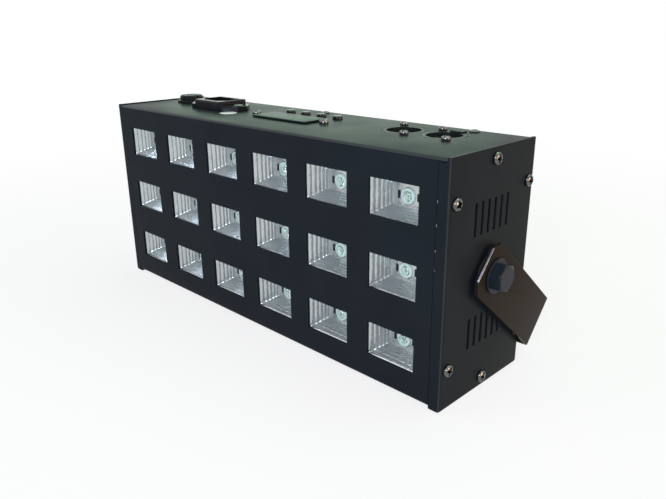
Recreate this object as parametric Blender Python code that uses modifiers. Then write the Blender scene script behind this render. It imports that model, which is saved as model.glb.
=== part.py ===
"""Ultraviolet wash light: a folded steel housing with three rows of six stepped
reflectors, panel sockets on top and a U bracket that tilts on two bolts.

Metres, +Z up. X runs along the front, the reflectors look along -Y, and the
housing's bottom folds stand on z = 0. The origin is under the middle of the
whole object.
"""
import math

import bmesh
import bpy
from mathutils import Matrix, Vector

MM = 0.001
FIT = 0.3 * MM
BITE = 0.6 * MM  # how deep joined shapes reach into each other
PAST = 3 * MM  # how far a cutter runs past what it cuts

# Housing
HOUSING_WIDTH = 288 * MM
HOUSING_DEPTH = 72.6 * MM
HOUSING_HEIGHT = 124.4 * MM
SHEET = 1.2 * MM
END_SHEET = 1.5 * MM
SHEET_BEND = 1.8 * MM
END_BEND = 1.6 * MM
END_FOLD = 6.3 * MM
END_RISE = 0.6 * MM
NOTCH_ROOF = 1.6 * MM
LUG_WIDTH = 12 * MM
LUG_REACH = 10 * MM
LUG_FOOT = 5 * MM
COVER_FOLD = 8 * MM

# Windows and reflectors
COLUMNS = 6
ROWS = 3
SIDE_BORDER = 16.35 * MM
END_BORDER = 14.55 * MM
WINDOW_WIDTH = 30.3 * MM
WINDOW_HEIGHT = 18.7 * MM
MOUTH_OVERLAP = 0.5 * MM
THROAT_WIDTH = 18 * MM
THROAT_HEIGHT = 9.5 * MM
REFLECTOR_DEPTH = 13 * MM
REFLECTOR_WALL = 0.8 * MM
REFLECTOR_MARGIN = 4 * MM
TRAY_GAP = 1.05 * MM
STEPS = 5
STEP_TREAD = 0.72
STEP_DRAFT = 0.45

# Emitters and what carries them
EMITTER_RADIUS = 3.9 * MM
EMITTER_BODY = 3.2 * MM
DOME_RADIUS = 3.3 * MM
DOME_RISE = 1.6 * MM
BOARD = 1.6 * MM
BOARD_MARGIN = 6 * MM
BOARD_SIDE = 2 * MM
SINK_BASE = 3 * MM
SINK_SIDE = 4 * MM
FIN_THICKNESS = 1.6 * MM
FIN_PITCH = 20 * MM
FIN_ROOM = 4.5 * MM
FIN_HEADROOM = 1.5 * MM

# End panels: louvre slots from the panel's middle, screws from its edges
SLOTS = 6
SLOT_PITCH = 5.5 * MM
SLOT_WIDTH = 2.1 * MM
SLOT_LENGTH = 16.5 * MM
SLOT_HEIGHT = 29.3 * MM
SLOT_LIFT = 0.9 * MM
SCREW_FROM_FRONT = 5.4 * MM
SCREW_FROM_BACK = 4.6 * MM
SCREW_FROM_TOP = 4.9 * MM
SCREW_SIDE_INSET = 20.8 * MM
SCREW_HEAD = 3.2 * MM
SCREW_HEAD_HEIGHT = 2 * MM
SCREW_SHANK = 1.6 * MM
SCREW_LENGTH = 6 * MM

# Bracket and its bolts
TILT = math.radians(40.2)
BRACKET_SHEET = 2 * MM
BRACKET_WIDTH = 29.2 * MM
BRACKET_GAP = 4.3 * MM
BRACKET_END = 12.6 * MM
BRACKET_CORNER = 5.6 * MM
BRACKET_BEND = 3.5 * MM
HANG_HOLE = 5.25 * MM
SIDE_HOLE = 3.25 * MM
SIDE_HOLE_SPACING = 80 * MM
SPACER = 2 * MM
SPACER_RADIUS = 10 * MM
BOLT_RADIUS = 4 * MM
BOLT_HEAD = 13 * MM
BOLT_HEAD_HEIGHT = 5.3 * MM
BOLT_WASHER_RADIUS = 9 * MM
BOLT_WASHER = 1 * MM
BOLT_LENGTH = 10 * MM
NUT_RADIUS = 7 * MM
NUT_LENGTH = 5 * MM
BOLT_CLEARANCE = 0.4 * MM

# Display and buttons on the top
DISPLAY_FROM_FRONT = 36 * MM
DISPLAY_WIDTH = 48 * MM
DISPLAY_DEPTH = 19 * MM
DISPLAY_PLATE = 1 * MM
DISPLAY_EASE = 0.2 * MM
DISPLAY_RIM = 2.5 * MM
DISPLAY_SCREW_SPACING = 61 * MM
DISPLAY_SCREW_HEAD = 2.75 * MM
DISPLAY_SCREW_HEIGHT = 1.5 * MM
BUTTON_COUNT = 4
BUTTON_PITCH = 14 * MM
BUTTON_OFFSET = 3.1 * MM
BUTTON_FROM_DISPLAY = 18 * MM
BUTTON_RADIUS = 3 * MM
BUTTON_RISE = 2 * MM
BUTTON_EDGE = 1 * MM
BUTTON_COLLAR = 0.9 * MM
BUTTON_COLLAR_HEIGHT = 1 * MM
BUTTON_TRAVEL = 0.5 * MM
KEY_WIDTH = 6 * MM
CONTROL_GAP = 9 * MM
CONTROL_ROOM = 3 * MM
CONTROL_MARGIN = 6 * MM

# Data sockets
SOCKET_FROM_END = 38.4 * MM
SOCKET_PITCH = 26.4 * MM
SOCKET_WIDTH = 26 * MM
SOCKET_DEPTH = 31 * MM
SOCKET_FLANGE = 2 * MM
SOCKET_BARREL = 11.8 * MM
SOCKET_BORE = 9.6 * MM
SOCKET_LENGTH = 24 * MM
SOCKET_BORE_DEPTH = 15 * MM
SOCKET_SCREW_X = 9.5 * MM
SOCKET_SCREW_Y = 12 * MM
SOCKET_SCREW_HEAD = 2.6 * MM
SOCKET_SCREW_RISE = 0.5 * MM
PIN_CIRCLE = 4.6 * MM
PIN_RADIUS = 1.2 * MM
PIN_LENGTH = 10 * MM
INSERT_RADIUS = 7.8 * MM
INSERT_DROP = 2 * MM
LATCH_WIDTH = 8 * MM
LATCH_DEPTH = 4.4 * MM
LATCH_EDGE = 0.7 * MM
LATCH_RISE = 0.8 * MM
LATCH_FOOT = 0.6 * MM
LATCH_EASE = 0.3 * MM

# Mains inlet and fuse
INLET_FROM_END = 70.2 * MM
INLET_FROM_FRONT = 39.2 * MM
INLET_WIDTH = 50 * MM
INLET_DEPTH = 23.6 * MM
INLET_FLANGE = 2.7 * MM
INLET_CORNER = 8 * MM
INLET_BLOCK_WIDTH = 27.6 * MM
INLET_BLOCK_DEPTH = 23 * MM
INLET_EASE = 0.8 * MM
INLET_RISE = 6 * MM
INLET_CUT_WIDTH = 27.2 * MM
INLET_CUT_DEPTH = 19.8 * MM
INLET_BODY_LENGTH = 20 * MM
INLET_SOCKET_WIDTH = 24.5 * MM
INLET_SOCKET_DEPTH = 16.8 * MM
INLET_SOCKET_LENGTH = 17 * MM
INLET_CHAMFER = 5 * MM
INLET_SCREW_SPACING = 40 * MM
INLET_SCREW_HEAD = 3 * MM
INLET_SCREW_RISE = 0.7 * MM
BLADE_WIDTH = 4 * MM
BLADE_THICKNESS = 2 * MM
BLADE_SPACING = 7 * MM
BLADE_STAGGER = 4 * MM
BLADE_LENGTH = 12 * MM
FUSE_FROM_END = 23.5 * MM
FUSE_FROM_FRONT = 47 * MM
FUSE_FLANGE = 10.2 * MM
FUSE_FLANGE_RISE = 1.4 * MM
FUSE_FLANGE_EASE = 0.5 * MM
FUSE_BARREL = 6.2 * MM
FUSE_LENGTH = 30 * MM
FUSE_BORE = 4.2 * MM
FUSE_FLOOR = 2 * MM
FUSE_CAP = 8.2 * MM
FUSE_CAP_RISE = 3 * MM
FUSE_CAP_EASE = 0.8 * MM
FUSE_STEM = 3.6 * MM
FUSE_STEM_LENGTH = 16 * MM
FUSE_SLOT = 1.6 * MM
FUSE_SLOT_DEPTH = 1.4 * MM

# Supply board inside
SUPPLY_FROM_END = 30 * MM
SUPPLY_WIDTH = 104 * MM
SUPPLY_DEPTH = 28 * MM
SUPPLY_LIFT = 6 * MM
STANDOFF_RADIUS = 3 * MM
STANDOFF_INSET = 5 * MM
TRANSFORMER_WIDTH = 26 * MM
TRANSFORMER_DEPTH = 22 * MM
TRANSFORMER_HEIGHT = 26 * MM
INPUT_CAN_INSET = 22 * MM
INPUT_CAN_RADIUS = 8 * MM
INPUT_CAN_HEIGHT = 30 * MM
OUTPUT_CAN_INSET = 28 * MM
OUTPUT_CAN_RADIUS = 6 * MM
OUTPUT_CAN_HEIGHT = 22 * MM
CHOKE_INSET = 13 * MM
CHOKE_RADIUS = 5 * MM
CHOKE_HEIGHT = 18 * MM

# Screws of the back cover along the top's rear edge
COVER_SCREW_INSET = 30.7 * MM
COVER_SCREW_FROM_BACK = 5 * MM
COVER_SCREW_HEAD = 2.8 * MM
COVER_SCREW_HEIGHT = 0.5 * MM

# Places worked out from the sizes above
Z_BOTTOM = END_SHEET + FIT
Z_TOP = Z_BOTTOM + HOUSING_HEIGHT
Z_MIDDLE = (Z_BOTTOM + Z_TOP) / 2
COLUMN_PITCH = (HOUSING_WIDTH - 2 * SIDE_BORDER - WINDOW_WIDTH) / (COLUMNS - 1)
ROW_PITCH = (HOUSING_HEIGHT - 2 * END_BORDER - WINDOW_HEIGHT) / (ROWS - 1)
PIVOT_FROM_FRONT = HOUSING_DEPTH / 2
BRACKET_REACH = (BRACKET_SHEET + (HOUSING_DEPTH - PIVOT_FROM_FRONT + BRACKET_GAP
                                  + math.sin(TILT) * BRACKET_WIDTH / 2) / math.cos(TILT))
OVERALL_DEPTH = (PIVOT_FROM_FRONT + math.cos(TILT) * BRACKET_REACH
                 + math.sin(TILT) * BRACKET_WIDTH / 2)
Y_FRONT = -OVERALL_DEPTH / 2
Y_BACK = Y_FRONT + HOUSING_DEPTH
X_END = HOUSING_WIDTH / 2
X_INNER = X_END - END_SHEET
X_SHELL = X_INNER - FIT
X_SEAM = X_END - END_FOLD
X_FOOT = X_SEAM - LUG_FOOT
X_TRAY = X_FOOT - TRAY_GAP
Y_REFLECTOR = Y_FRONT + SHEET + FIT
Y_BOARD = Y_REFLECTOR + REFLECTOR_DEPTH + REFLECTOR_WALL + FIT
Y_SINK = Y_BOARD + BOARD + FIT
Y_DISPLAY = Y_FRONT + DISPLAY_FROM_FRONT
Y_BUTTONS = Y_DISPLAY + BUTTON_FROM_DISPLAY
Y_SOCKET = Y_BACK - COVER_FOLD - FIT - SOCKET_DEPTH / 2
PIVOT = Vector((0, Y_FRONT + PIVOT_FROM_FRONT, Z_MIDDLE))
Z_SHELL_IN = Z_TOP - SHEET
Z_CONTROL = Z_SHELL_IN - CONTROL_GAP
X_INLET = INLET_FROM_END - X_END
Y_INLET = Y_FRONT + INLET_FROM_FRONT
Z_INLET = Z_TOP + INLET_RISE
X_FUSE = FUSE_FROM_END - X_END
Y_FUSE = Y_FRONT + FUSE_FROM_FRONT

WINDOWS = [(column, row) for row in range(ROWS) for column in range(COLUMNS)]


def new_collection(name):
    collection = bpy.data.collections.new(name)
    bpy.context.scene.collection.children.link(collection)
    return collection


def clear_scene():
    for item in list(bpy.data.objects):
        bpy.data.objects.remove(item)


clear_scene()
PARTS = new_collection("led_uv_wash_light")
TOOLS = new_collection("cutters")


def material(name, colour, roughness, metallic=0.0):
    """A plain Principled material in linear colour."""
    made = bpy.data.materials.new(name)
    made.use_nodes = True
    shader = made.node_tree.nodes["Principled BSDF"]
    shader.inputs["Base Color"].default_value = (*colour, 1)
    shader.inputs["Roughness"].default_value = roughness
    shader.inputs["Metallic"].default_value = metallic
    return made


POWDER = material("black_powder_coat", (0.012, 0.014, 0.017), 0.35)
BRACKET_COAT = material("bracket_powder_coat", (0.012, 0.012, 0.014), 0.3)
MIRROR = material("aluminised_plastic", (0.82, 0.84, 0.85), 0.12, 1.0)
EMITTER = material("emitter_white", (0.8, 0.86, 0.84), 0.2)
BOARD_WHITE = material("white_solder_mask", (0.7, 0.72, 0.7), 0.45)
BOARD_GREEN = material("green_solder_mask", (0.02, 0.12, 0.05), 0.4)
ALUMINIUM = material("mill_aluminium", (0.6, 0.61, 0.62), 0.4, 1.0)
NICKEL = material("nickel_screw", (0.62, 0.6, 0.56), 0.25, 1.0)
BLACK_ZINC = material("black_zinc_bolt", (0.03, 0.035, 0.045), 0.25, 0.8)
BLACK_PLASTIC = material("black_plastic", (0.015, 0.015, 0.017), 0.3)
NYLON = material("black_nylon", (0.02, 0.02, 0.02), 0.6)
WINDOW_PLASTIC = material("tinted_display_window", (0.05, 0.07, 0.08), 0.15)


def add_box(mesh, low, high):
    """Adds a box between two corners."""
    low, high = Vector(low), Vector(high)
    size = Matrix.Diagonal((*(high - low), 1))
    bmesh.ops.create_cube(mesh, size=1, matrix=Matrix.Translation((low + high) / 2) @ size)


def add_rod(mesh, start, end, radius, segments=16, end_radius=None):
    """Adds a capped cylinder or cone from start to end, its side shaded smooth if round."""
    start, end = Vector(start), Vector(end)
    turn = (end - start).to_track_quat("Z", "Y").to_matrix().to_4x4()
    made = bmesh.ops.create_cone(
        mesh, cap_ends=True, segments=segments, radius1=radius,
        radius2=radius if end_radius is None else end_radius,
        depth=(end - start).length, matrix=Matrix.Translation((start + end) / 2) @ turn)
    for face in {face for corner in made["verts"] for face in corner.link_faces}:
        face.smooth = segments > 6 and len(face.verts) == 4


def finish(name, mesh, coat, collection=None):
    """Turns a bmesh into an object of its own."""
    data = bpy.data.meshes.new(name)
    mesh.to_mesh(data)
    mesh.free()
    if coat is not None:
        data.materials.append(coat)
    made = bpy.data.objects.new(name, data)
    (collection or PARTS).objects.link(made)
    return made


def tool(name, mesh):
    """A cutter or an added piece that is only read by a Boolean."""
    made = finish(name, mesh, None, TOOLS)
    made.hide_render = True
    made.display_type = "WIRE"
    return made


def join(part, name, mesh, operation="DIFFERENCE", crossing=False):
    """Cuts a shape out of a part, or adds it with UNION; crossing shapes may overlap."""
    step = part.modifiers.new(name, "BOOLEAN")
    step.solver = "EXACT"
    step.operation = operation
    step.use_self = crossing
    step.object = tool(part.name + "_" + name, mesh)


def bevel(part, width, segments, angle=40):
    step = part.modifiers.new("bend", "BEVEL")
    step.width = width
    step.segments = segments
    step.limit_method = "ANGLE"
    step.angle_limit = math.radians(angle)


def thicken(part, thickness):
    """Gives an open surface a wall on the side away from its normals."""
    step = part.modifiers.new("wall", "SOLIDIFY")
    step.thickness = thickness
    step.offset = -1
    step.use_even_offset = True


def open_box(low, high, kept):
    """A box without its other faces; kept names the ones that stay, such as -y."""
    mesh = bmesh.new()
    add_box(mesh, low, high)
    for face in list(mesh.faces):
        axis = max(range(3), key=lambda i: abs(face.normal[i]))
        side = ("+" if face.normal[axis] > 0 else "-") + "xyz"[axis]
        if side not in kept:
            mesh.faces.remove(face)
    for edge in [edge for edge in mesh.edges if not edge.link_faces]:
        mesh.edges.remove(edge)
    return mesh


def window_centre(column, row):
    x = (column - (COLUMNS - 1) / 2) * COLUMN_PITCH
    z = Z_MIDDLE + ((ROWS - 1) / 2 - row) * ROW_PITCH
    return x, z


def end_screw_places():
    """Middle of each screw on an end panel, as y and z."""
    front, back = Y_FRONT + SCREW_FROM_FRONT, Y_BACK - SCREW_FROM_BACK
    upper, lower = Z_TOP - SCREW_SIDE_INSET, Z_BOTTOM + SCREW_SIDE_INSET
    return {
        "top": (PIVOT.y, Z_TOP - SCREW_FROM_TOP),
        "bottom": (PIVOT.y, Z_BOTTOM + SCREW_FROM_TOP),
        "front_upper": (front, upper),
        "front_lower": (front, lower),
        "rear_upper": (back, upper),
        "rear_lower": (back, lower),
    }


def add_screw_holes(mesh, names):
    """Holes along X through whatever lies behind the named end screws, both ends."""
    places = end_screw_places()
    for name in names:
        for side in (-1, 1):
            add_rod(mesh, (side * (X_SHELL - SHEET - PAST), *places[name]),
                    (side * (X_END + PAST), *places[name]), SCREW_SHANK + FIT, 12)


def cover_screw_places():
    return [(side * (X_SHELL - COVER_SCREW_INSET), Y_BACK - COVER_SCREW_FROM_BACK)
            for side in (-1, 0, 1)]


def button_places():
    first = BUTTON_OFFSET - (BUTTON_COUNT - 1) / 2 * BUTTON_PITCH
    return [(first + index * BUTTON_PITCH, Y_BUTTONS) for index in range(BUTTON_COUNT)]


def display_screw_places():
    return [(side * DISPLAY_SCREW_SPACING / 2, Y_DISPLAY) for side in (-1, 1)]


def front_shell():
    """Front, top and bottom of one folded sheet, with tabs for the end screws."""
    mesh = open_box((-X_SHELL, Y_FRONT, Z_BOTTOM), (X_SHELL, Y_BACK, Z_TOP), ("-y", "+z", "-z"))
    shell = finish("front_shell", mesh, POWDER)
    bevel(shell, SHEET_BEND, 4)
    thicken(shell, SHEET)
    join(shell, "tabs", shell_tabs(), "UNION", crossing=True)
    join(shell, "windows", window_cutter())
    join(shell, "corners", corner_cutter())
    join(shell, "top_openings", top_cutter())
    notch = bmesh.new()
    add_latch_slot(notch, Z_SHELL_IN - PAST, Z_TOP + PAST)
    join(shell, "latch_notch", notch)
    holes = bmesh.new()
    add_screw_holes(holes, ("top", "bottom", "front_upper", "front_lower"))
    join(shell, "screw_holes", holes)
    return shell


def shell_tabs():
    """Tabs behind the end panels: two bent off the front sheet, one each off top and bottom."""
    places = end_screw_places()
    mesh = bmesh.new()
    for side in (-1, 1):
        wall = sorted((side * (X_SHELL - SHEET), side * X_SHELL))
        foot = sorted((side * X_FOOT, side * X_SHELL))
        y = Y_FRONT + END_SHEET + FIT
        for name in ("front_upper", "front_lower"):
            z = places[name][1]
            low, high = z - LUG_WIDTH / 2, z + LUG_WIDTH / 2
            add_box(mesh, (foot[0], Y_FRONT + BITE, low), (foot[1], y + SHEET, high))
            add_box(mesh, (wall[0], y + BITE, low + BITE),
                    (wall[1], y + LUG_REACH, high - BITE))
        y = places["top"][0]
        add_box(mesh, (wall[0], y - LUG_WIDTH / 2, Z_TOP - LUG_REACH),
                (wall[1], y + LUG_WIDTH / 2, Z_TOP - BITE))
        add_box(mesh, (wall[0], y - LUG_WIDTH / 2, Z_BOTTOM + BITE),
                (wall[1], y + LUG_WIDTH / 2, Z_BOTTOM + LUG_REACH))
    return mesh


def window_cutter():
    mesh = bmesh.new()
    for column, row in WINDOWS:
        x, z = window_centre(column, row)
        add_box(mesh, (x - WINDOW_WIDTH / 2, Y_FRONT - PAST, z - WINDOW_HEIGHT / 2),
                (x + WINDOW_WIDTH / 2, Y_FRONT + SHEET + PAST, z + WINDOW_HEIGHT / 2))
    return mesh


def corner_cutter():
    """Room for the end panels' front folds, under a thin roof of the top sheet."""
    mesh = bmesh.new()
    for side in (-1, 1):
        low, high = sorted((side * (X_SEAM - FIT), side * (X_END + PAST)))
        add_box(mesh, (low, Y_FRONT - PAST, Z_BOTTOM - PAST),
                (high, Y_FRONT + END_SHEET + FIT, Z_TOP - NOTCH_ROOF))
    return mesh


def top_cutter():
    """Openings in the top sheet for sockets, display, buttons and screws."""
    mesh = bmesh.new()
    low, high = Z_SHELL_IN - PAST, Z_TOP + PAST
    for x, y in socket_centres():
        add_rod(mesh, (x, y, low), (x, y, high), SOCKET_BARREL + FIT, 32)
        for spot in socket_screw_places(x, y):
            add_rod(mesh, (*spot, low), (*spot, high), SCREW_SHANK + FIT, 12)
    half_width = DISPLAY_WIDTH / 2 - DISPLAY_RIM
    half_depth = DISPLAY_DEPTH / 2 - DISPLAY_RIM
    add_box(mesh, (-half_width, Y_DISPLAY - half_depth, low),
            (half_width, Y_DISPLAY + half_depth, high))
    for x, y in button_places():
        add_rod(mesh, (x, y, low), (x, y, high), BUTTON_RADIUS + FIT, 20)
    for x, y in display_screw_places() + cover_screw_places():
        add_rod(mesh, (x, y, low), (x, y, high), SCREW_SHANK + FIT, 12)
    half_width = INLET_CUT_WIDTH / 2 + FIT
    half_depth = INLET_CUT_DEPTH / 2 + FIT
    add_box(mesh, (X_INLET - half_width, Y_INLET - half_depth, low),
            (X_INLET + half_width, Y_INLET + half_depth, high))
    add_rod(mesh, (X_FUSE, Y_FUSE, low), (X_FUSE, Y_FUSE, high), FUSE_BARREL + FIT, 24)
    return mesh


def back_cover():
    """Rear plate with folds under the top sheet and over the bottom one."""
    low = Z_BOTTOM + SHEET + FIT
    high = Z_SHELL_IN - FIT
    mesh = open_box((-X_SHELL, Y_BACK - COVER_FOLD, low), (X_SHELL, Y_BACK, high),
                    ("+y", "+z", "-z"))
    cover = finish("back_cover", mesh, POWDER)
    bevel(cover, SHEET_BEND, 3)
    thicken(cover, SHEET)
    places = end_screw_places()
    tabs = bmesh.new()
    for side in (-1, 1):
        wall = sorted((side * (X_SHELL - SHEET), side * X_SHELL))
        for name in ("rear_upper", "rear_lower"):
            z = places[name][1]
            add_box(tabs, (wall[0], Y_BACK - LUG_REACH, z - LUG_WIDTH / 2),
                    (wall[1], Y_BACK - BITE, z + LUG_WIDTH / 2))
    join(cover, "tabs", tabs, "UNION")
    holes = bmesh.new()
    add_screw_holes(holes, ("rear_upper", "rear_lower"))
    for x, y in cover_screw_places():
        add_rod(holes, (x, y, high - SHEET - PAST), (x, y, high + PAST), SCREW_SHANK + FIT, 12)
    join(cover, "screw_holes", holes)
    return cover


def end_panel(name, side):
    """Side plate with a fold over the front and one under the bottom."""
    low, high = sorted((side * X_SEAM, side * X_END))
    outer = "+x" if side > 0 else "-x"
    mesh = open_box((low, Y_FRONT, 0), (high, Y_BACK, Z_TOP + END_RISE), (outer, "-y", "-z"))
    panel = finish(name, mesh, POWDER)
    bevel(panel, END_BEND, 3)
    thicken(panel, END_SHEET)
    notch = bmesh.new()
    near, far = sorted((side * (X_SEAM - PAST), side * X_SHELL))
    add_box(notch, (near, Y_FRONT - PAST, Z_TOP - NOTCH_ROOF - FIT),
            (far, Y_FRONT + END_SHEET + PAST, Z_TOP + PAST))
    join(panel, "fold_notch", notch)
    slots = bmesh.new()
    near, far = sorted((side * (X_INNER - PAST), side * (X_END + PAST)))
    for group in (-1, 1):
        z = Z_MIDDLE + SLOT_LIFT + group * SLOT_HEIGHT
        for index in range(SLOTS):
            y = PIVOT.y + (index - (SLOTS - 1) / 2) * SLOT_PITCH
            add_box(slots, (near, y - SLOT_WIDTH / 2, z - SLOT_LENGTH / 2),
                    (far, y + SLOT_WIDTH / 2, z + SLOT_LENGTH / 2))
    join(panel, "slots", slots)
    holes = bmesh.new()
    add_screw_holes(holes, end_screw_places())
    add_rod(holes, (near, PIVOT.y, PIVOT.z), (far, PIVOT.y, PIVOT.z),
            BOLT_RADIUS + BOLT_CLEARANCE, 20)
    join(panel, "holes", holes)
    return panel


def reflector_tray():
    """One moulding: a flange sheet whose windows sink back in rectangular steps.

    The flange starts as a grid with one cell per window. Each window's cell is
    pushed back and drawn in, step by step, and its last face is left out.
    """
    half_z = (ROWS - 1) / 2 * ROW_PITCH + WINDOW_HEIGHT / 2 + REFLECTOR_MARGIN
    mouth = (WINDOW_WIDTH / 2 + MOUTH_OVERLAP, WINDOW_HEIGHT / 2 + MOUTH_OVERLAP)
    x_lines = [-X_TRAY]
    for column in range(COLUMNS):
        x = window_centre(column, 0)[0]
        x_lines += [x - mouth[0], x + mouth[0]]
    x_lines.append(X_TRAY)
    z_lines = [Z_MIDDLE - half_z]
    for row in reversed(range(ROWS)):
        z = window_centre(0, row)[1]
        z_lines += [z - mouth[1], z + mouth[1]]
    z_lines.append(Z_MIDDLE + half_z)
    mesh = bmesh.new()
    bmesh.ops.create_grid(mesh, x_segments=len(x_lines) - 1,
                          y_segments=len(z_lines) - 1, size=0.5)
    for corner in mesh.verts:
        across = round((corner.co.x + 0.5) * (len(x_lines) - 1))
        up = round((corner.co.y + 0.5) * (len(z_lines) - 1))
        corner.co = (x_lines[across], Y_REFLECTOR, z_lines[up])
    windows = []
    for face in mesh.faces:
        if face.normal.y > 0:
            face.normal_flip()
        middle = face.calc_center_median()
        if any(math.dist((middle.x, middle.z), window_centre(*cell)) < MM for cell in WINDOWS):
            windows.append(face)
    for face in windows:
        sink_window(mesh, face, mouth)
    tray = finish("reflector_tray", mesh, MIRROR)
    thicken(tray, REFLECTOR_WALL)
    return tray


def sink_window(mesh, face, mouth):
    """Steps one window's face back to the throat: along the axis, then inwards."""
    centre = face.calc_center_median()
    size = Vector(mouth)
    shrink = Vector((mouth[0] - THROAT_WIDTH / 2, mouth[1] - THROAT_HEIGHT / 2)) / STEPS
    run = REFLECTOR_DEPTH / STEPS
    for step in range(STEPS):
        for back, part_in in ((run * STEP_TREAD, STEP_DRAFT),
                              (run * (1 - STEP_TREAD), 1 - STEP_DRAFT)):
            made = bmesh.ops.extrude_discrete_faces(mesh, faces=[face])
            face = made["faces"][0]
            target = size - shrink * part_in
            centre = centre + Vector((0, back, 0))
            for corner in face.verts:
                corner.co.x = centre.x + (corner.co.x - centre.x) * target.x / size.x
                corner.co.z = centre.z + (corner.co.z - centre.z) * target.y / size.y
                corner.co.y = centre.y
            size = target
    mesh.faces.remove(face)


def emitter(column, row):
    """Round emitter body on the board with its clear dome."""
    x, z = window_centre(column, row)
    foot = Y_BOARD - FIT
    rim = foot - EMITTER_BODY
    outline = [(0, DOME_RISE)]
    for index in range(1, 4):
        turn = math.radians(30 * index)
        outline.append((DOME_RADIUS * math.sin(turn), DOME_RISE * math.cos(turn)))
    outline += [(EMITTER_RADIUS, 0), (EMITTER_RADIUS, -EMITTER_BODY), (0, -EMITTER_BODY)]
    led = turned("emitter_%d_%d" % (row + 1, column + 1), outline, EMITTER, 12)
    led.rotation_euler = (math.radians(90), 0, 0)
    led.location = (x, rim, z)
    return led


def led_board():
    half_x = X_TRAY + BOARD_SIDE
    half_z = HOUSING_HEIGHT / 2 - SHEET - BOARD_MARGIN
    mesh = bmesh.new()
    add_box(mesh, (-half_x, Y_BOARD, Z_MIDDLE - half_z),
            (half_x, Y_BOARD + BOARD, Z_MIDDLE + half_z))
    return finish("led_board", mesh, BOARD_WHITE)


def heat_sink():
    """Aluminium plate between the top and bottom sheets, with upright fins behind.

    The fins end below the mains inlet's body and in front of the data sockets.
    """
    half_x = X_SHELL - SHEET - SINK_SIDE
    half_z = HOUSING_HEIGHT / 2 - SHEET - FIT
    fin_z = Z_INLET - INLET_BODY_LENGTH - FIN_HEADROOM - Z_MIDDLE
    fin_end = Y_SOCKET - SOCKET_BARREL - FIN_ROOM
    mesh = bmesh.new()
    add_box(mesh, (-half_x, Y_SINK, Z_MIDDLE - half_z),
            (half_x, Y_SINK + SINK_BASE, Z_MIDDLE + half_z))
    sink = finish("heat_sink", mesh, ALUMINIUM)
    fins = bmesh.new()
    outermost = int(half_x // FIN_PITCH)
    for index in range(-outermost, outermost + 1):
        x = index * FIN_PITCH
        add_box(fins, (x - FIN_THICKNESS / 2, Y_SINK + SINK_BASE - BITE, Z_MIDDLE - fin_z),
                (x + FIN_THICKNESS / 2, fin_end, Z_MIDDLE + fin_z))
    join(sink, "fins", fins, "UNION")
    return sink


def power_supply():
    """Mains supply: board on four standoffs, with transformer, capacitors and choke."""
    floor = Z_BOTTOM + SHEET + FIT
    deck = floor + SUPPLY_LIFT
    back = Y_BACK - COVER_FOLD - FIT
    front = back - SUPPLY_DEPTH
    left = SUPPLY_FROM_END - X_END
    right = left + SUPPLY_WIDTH
    mesh = bmesh.new()
    add_box(mesh, (left, front, deck), (right, back, deck + BOARD))
    board = finish("power_supply", mesh, BOARD_GREEN)
    extra = bmesh.new()
    base = deck + BOARD - BITE
    for x in (left + STANDOFF_INSET, right - STANDOFF_INSET):
        for y in (front + STANDOFF_INSET, back - STANDOFF_INSET):
            add_rod(extra, (x, y, floor), (x, y, deck + BITE), STANDOFF_RADIUS, 10)
    middle_x, middle_y = (left + right) / 2, (front + back) / 2
    add_box(extra, (middle_x - TRANSFORMER_WIDTH / 2, middle_y - TRANSFORMER_DEPTH / 2, base),
            (middle_x + TRANSFORMER_WIDTH / 2, middle_y + TRANSFORMER_DEPTH / 2,
             base + TRANSFORMER_HEIGHT))
    for x, radius, height in (
            (left + INPUT_CAN_INSET, INPUT_CAN_RADIUS, INPUT_CAN_HEIGHT),
            (right - OUTPUT_CAN_INSET, OUTPUT_CAN_RADIUS, OUTPUT_CAN_HEIGHT),
            (right - CHOKE_INSET, CHOKE_RADIUS, CHOKE_HEIGHT)):
        add_rod(extra, (x, middle_y, base), (x, middle_y, base + height), radius, 16)
    join(board, "components", extra, "UNION", crossing=True)
    return board


def control_board():
    """Board under the top: display block, key switches and hanging posts."""
    half = DISPLAY_SCREW_SPACING / 2 + CONTROL_MARGIN
    mesh = bmesh.new()
    add_box(mesh, (-half, Y_SINK + SINK_BASE + CONTROL_ROOM, Z_CONTROL - BOARD),
            (half, Y_BUTTONS + CONTROL_MARGIN, Z_CONTROL))
    board = finish("control_board", mesh, BOARD_GREEN)
    extra = bmesh.new()
    base = Z_CONTROL - BITE
    half_width = DISPLAY_WIDTH / 2 - DISPLAY_RIM - FIT
    half_depth = DISPLAY_DEPTH / 2 - DISPLAY_RIM - FIT
    add_box(extra, (-half_width, Y_DISPLAY - half_depth, base),
            (half_width, Y_DISPLAY + half_depth, Z_TOP - FIT))
    key_top = Z_SHELL_IN - FIT - BUTTON_COLLAR_HEIGHT - BUTTON_TRAVEL - FIT
    for x, y in button_places():
        add_box(extra, (x - KEY_WIDTH / 2, y - KEY_WIDTH / 2, base),
                (x + KEY_WIDTH / 2, y + KEY_WIDTH / 2, key_top))
    for x, y in display_screw_places():
        add_rod(extra, (x, y, base), (x, y, Z_SHELL_IN - FIT), STANDOFF_RADIUS, 12)
    join(board, "components", extra, "UNION")
    holes = bmesh.new()
    for x, y in display_screw_places():
        add_rod(holes, (x, y, Z_TOP - SCREW_LENGTH - FIT), (x, y, Z_TOP),
                SCREW_SHANK + FIT, 12)
    join(board, "screw_holes", holes)
    return board


def display_window():
    mesh = bmesh.new()
    add_box(mesh, (-DISPLAY_WIDTH / 2, Y_DISPLAY - DISPLAY_DEPTH / 2, Z_TOP + FIT),
            (DISPLAY_WIDTH / 2, Y_DISPLAY + DISPLAY_DEPTH / 2, Z_TOP + FIT + DISPLAY_PLATE))
    window = finish("display_window", mesh, WINDOW_PLASTIC)
    bevel(window, DISPLAY_EASE, 1)
    return window


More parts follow.
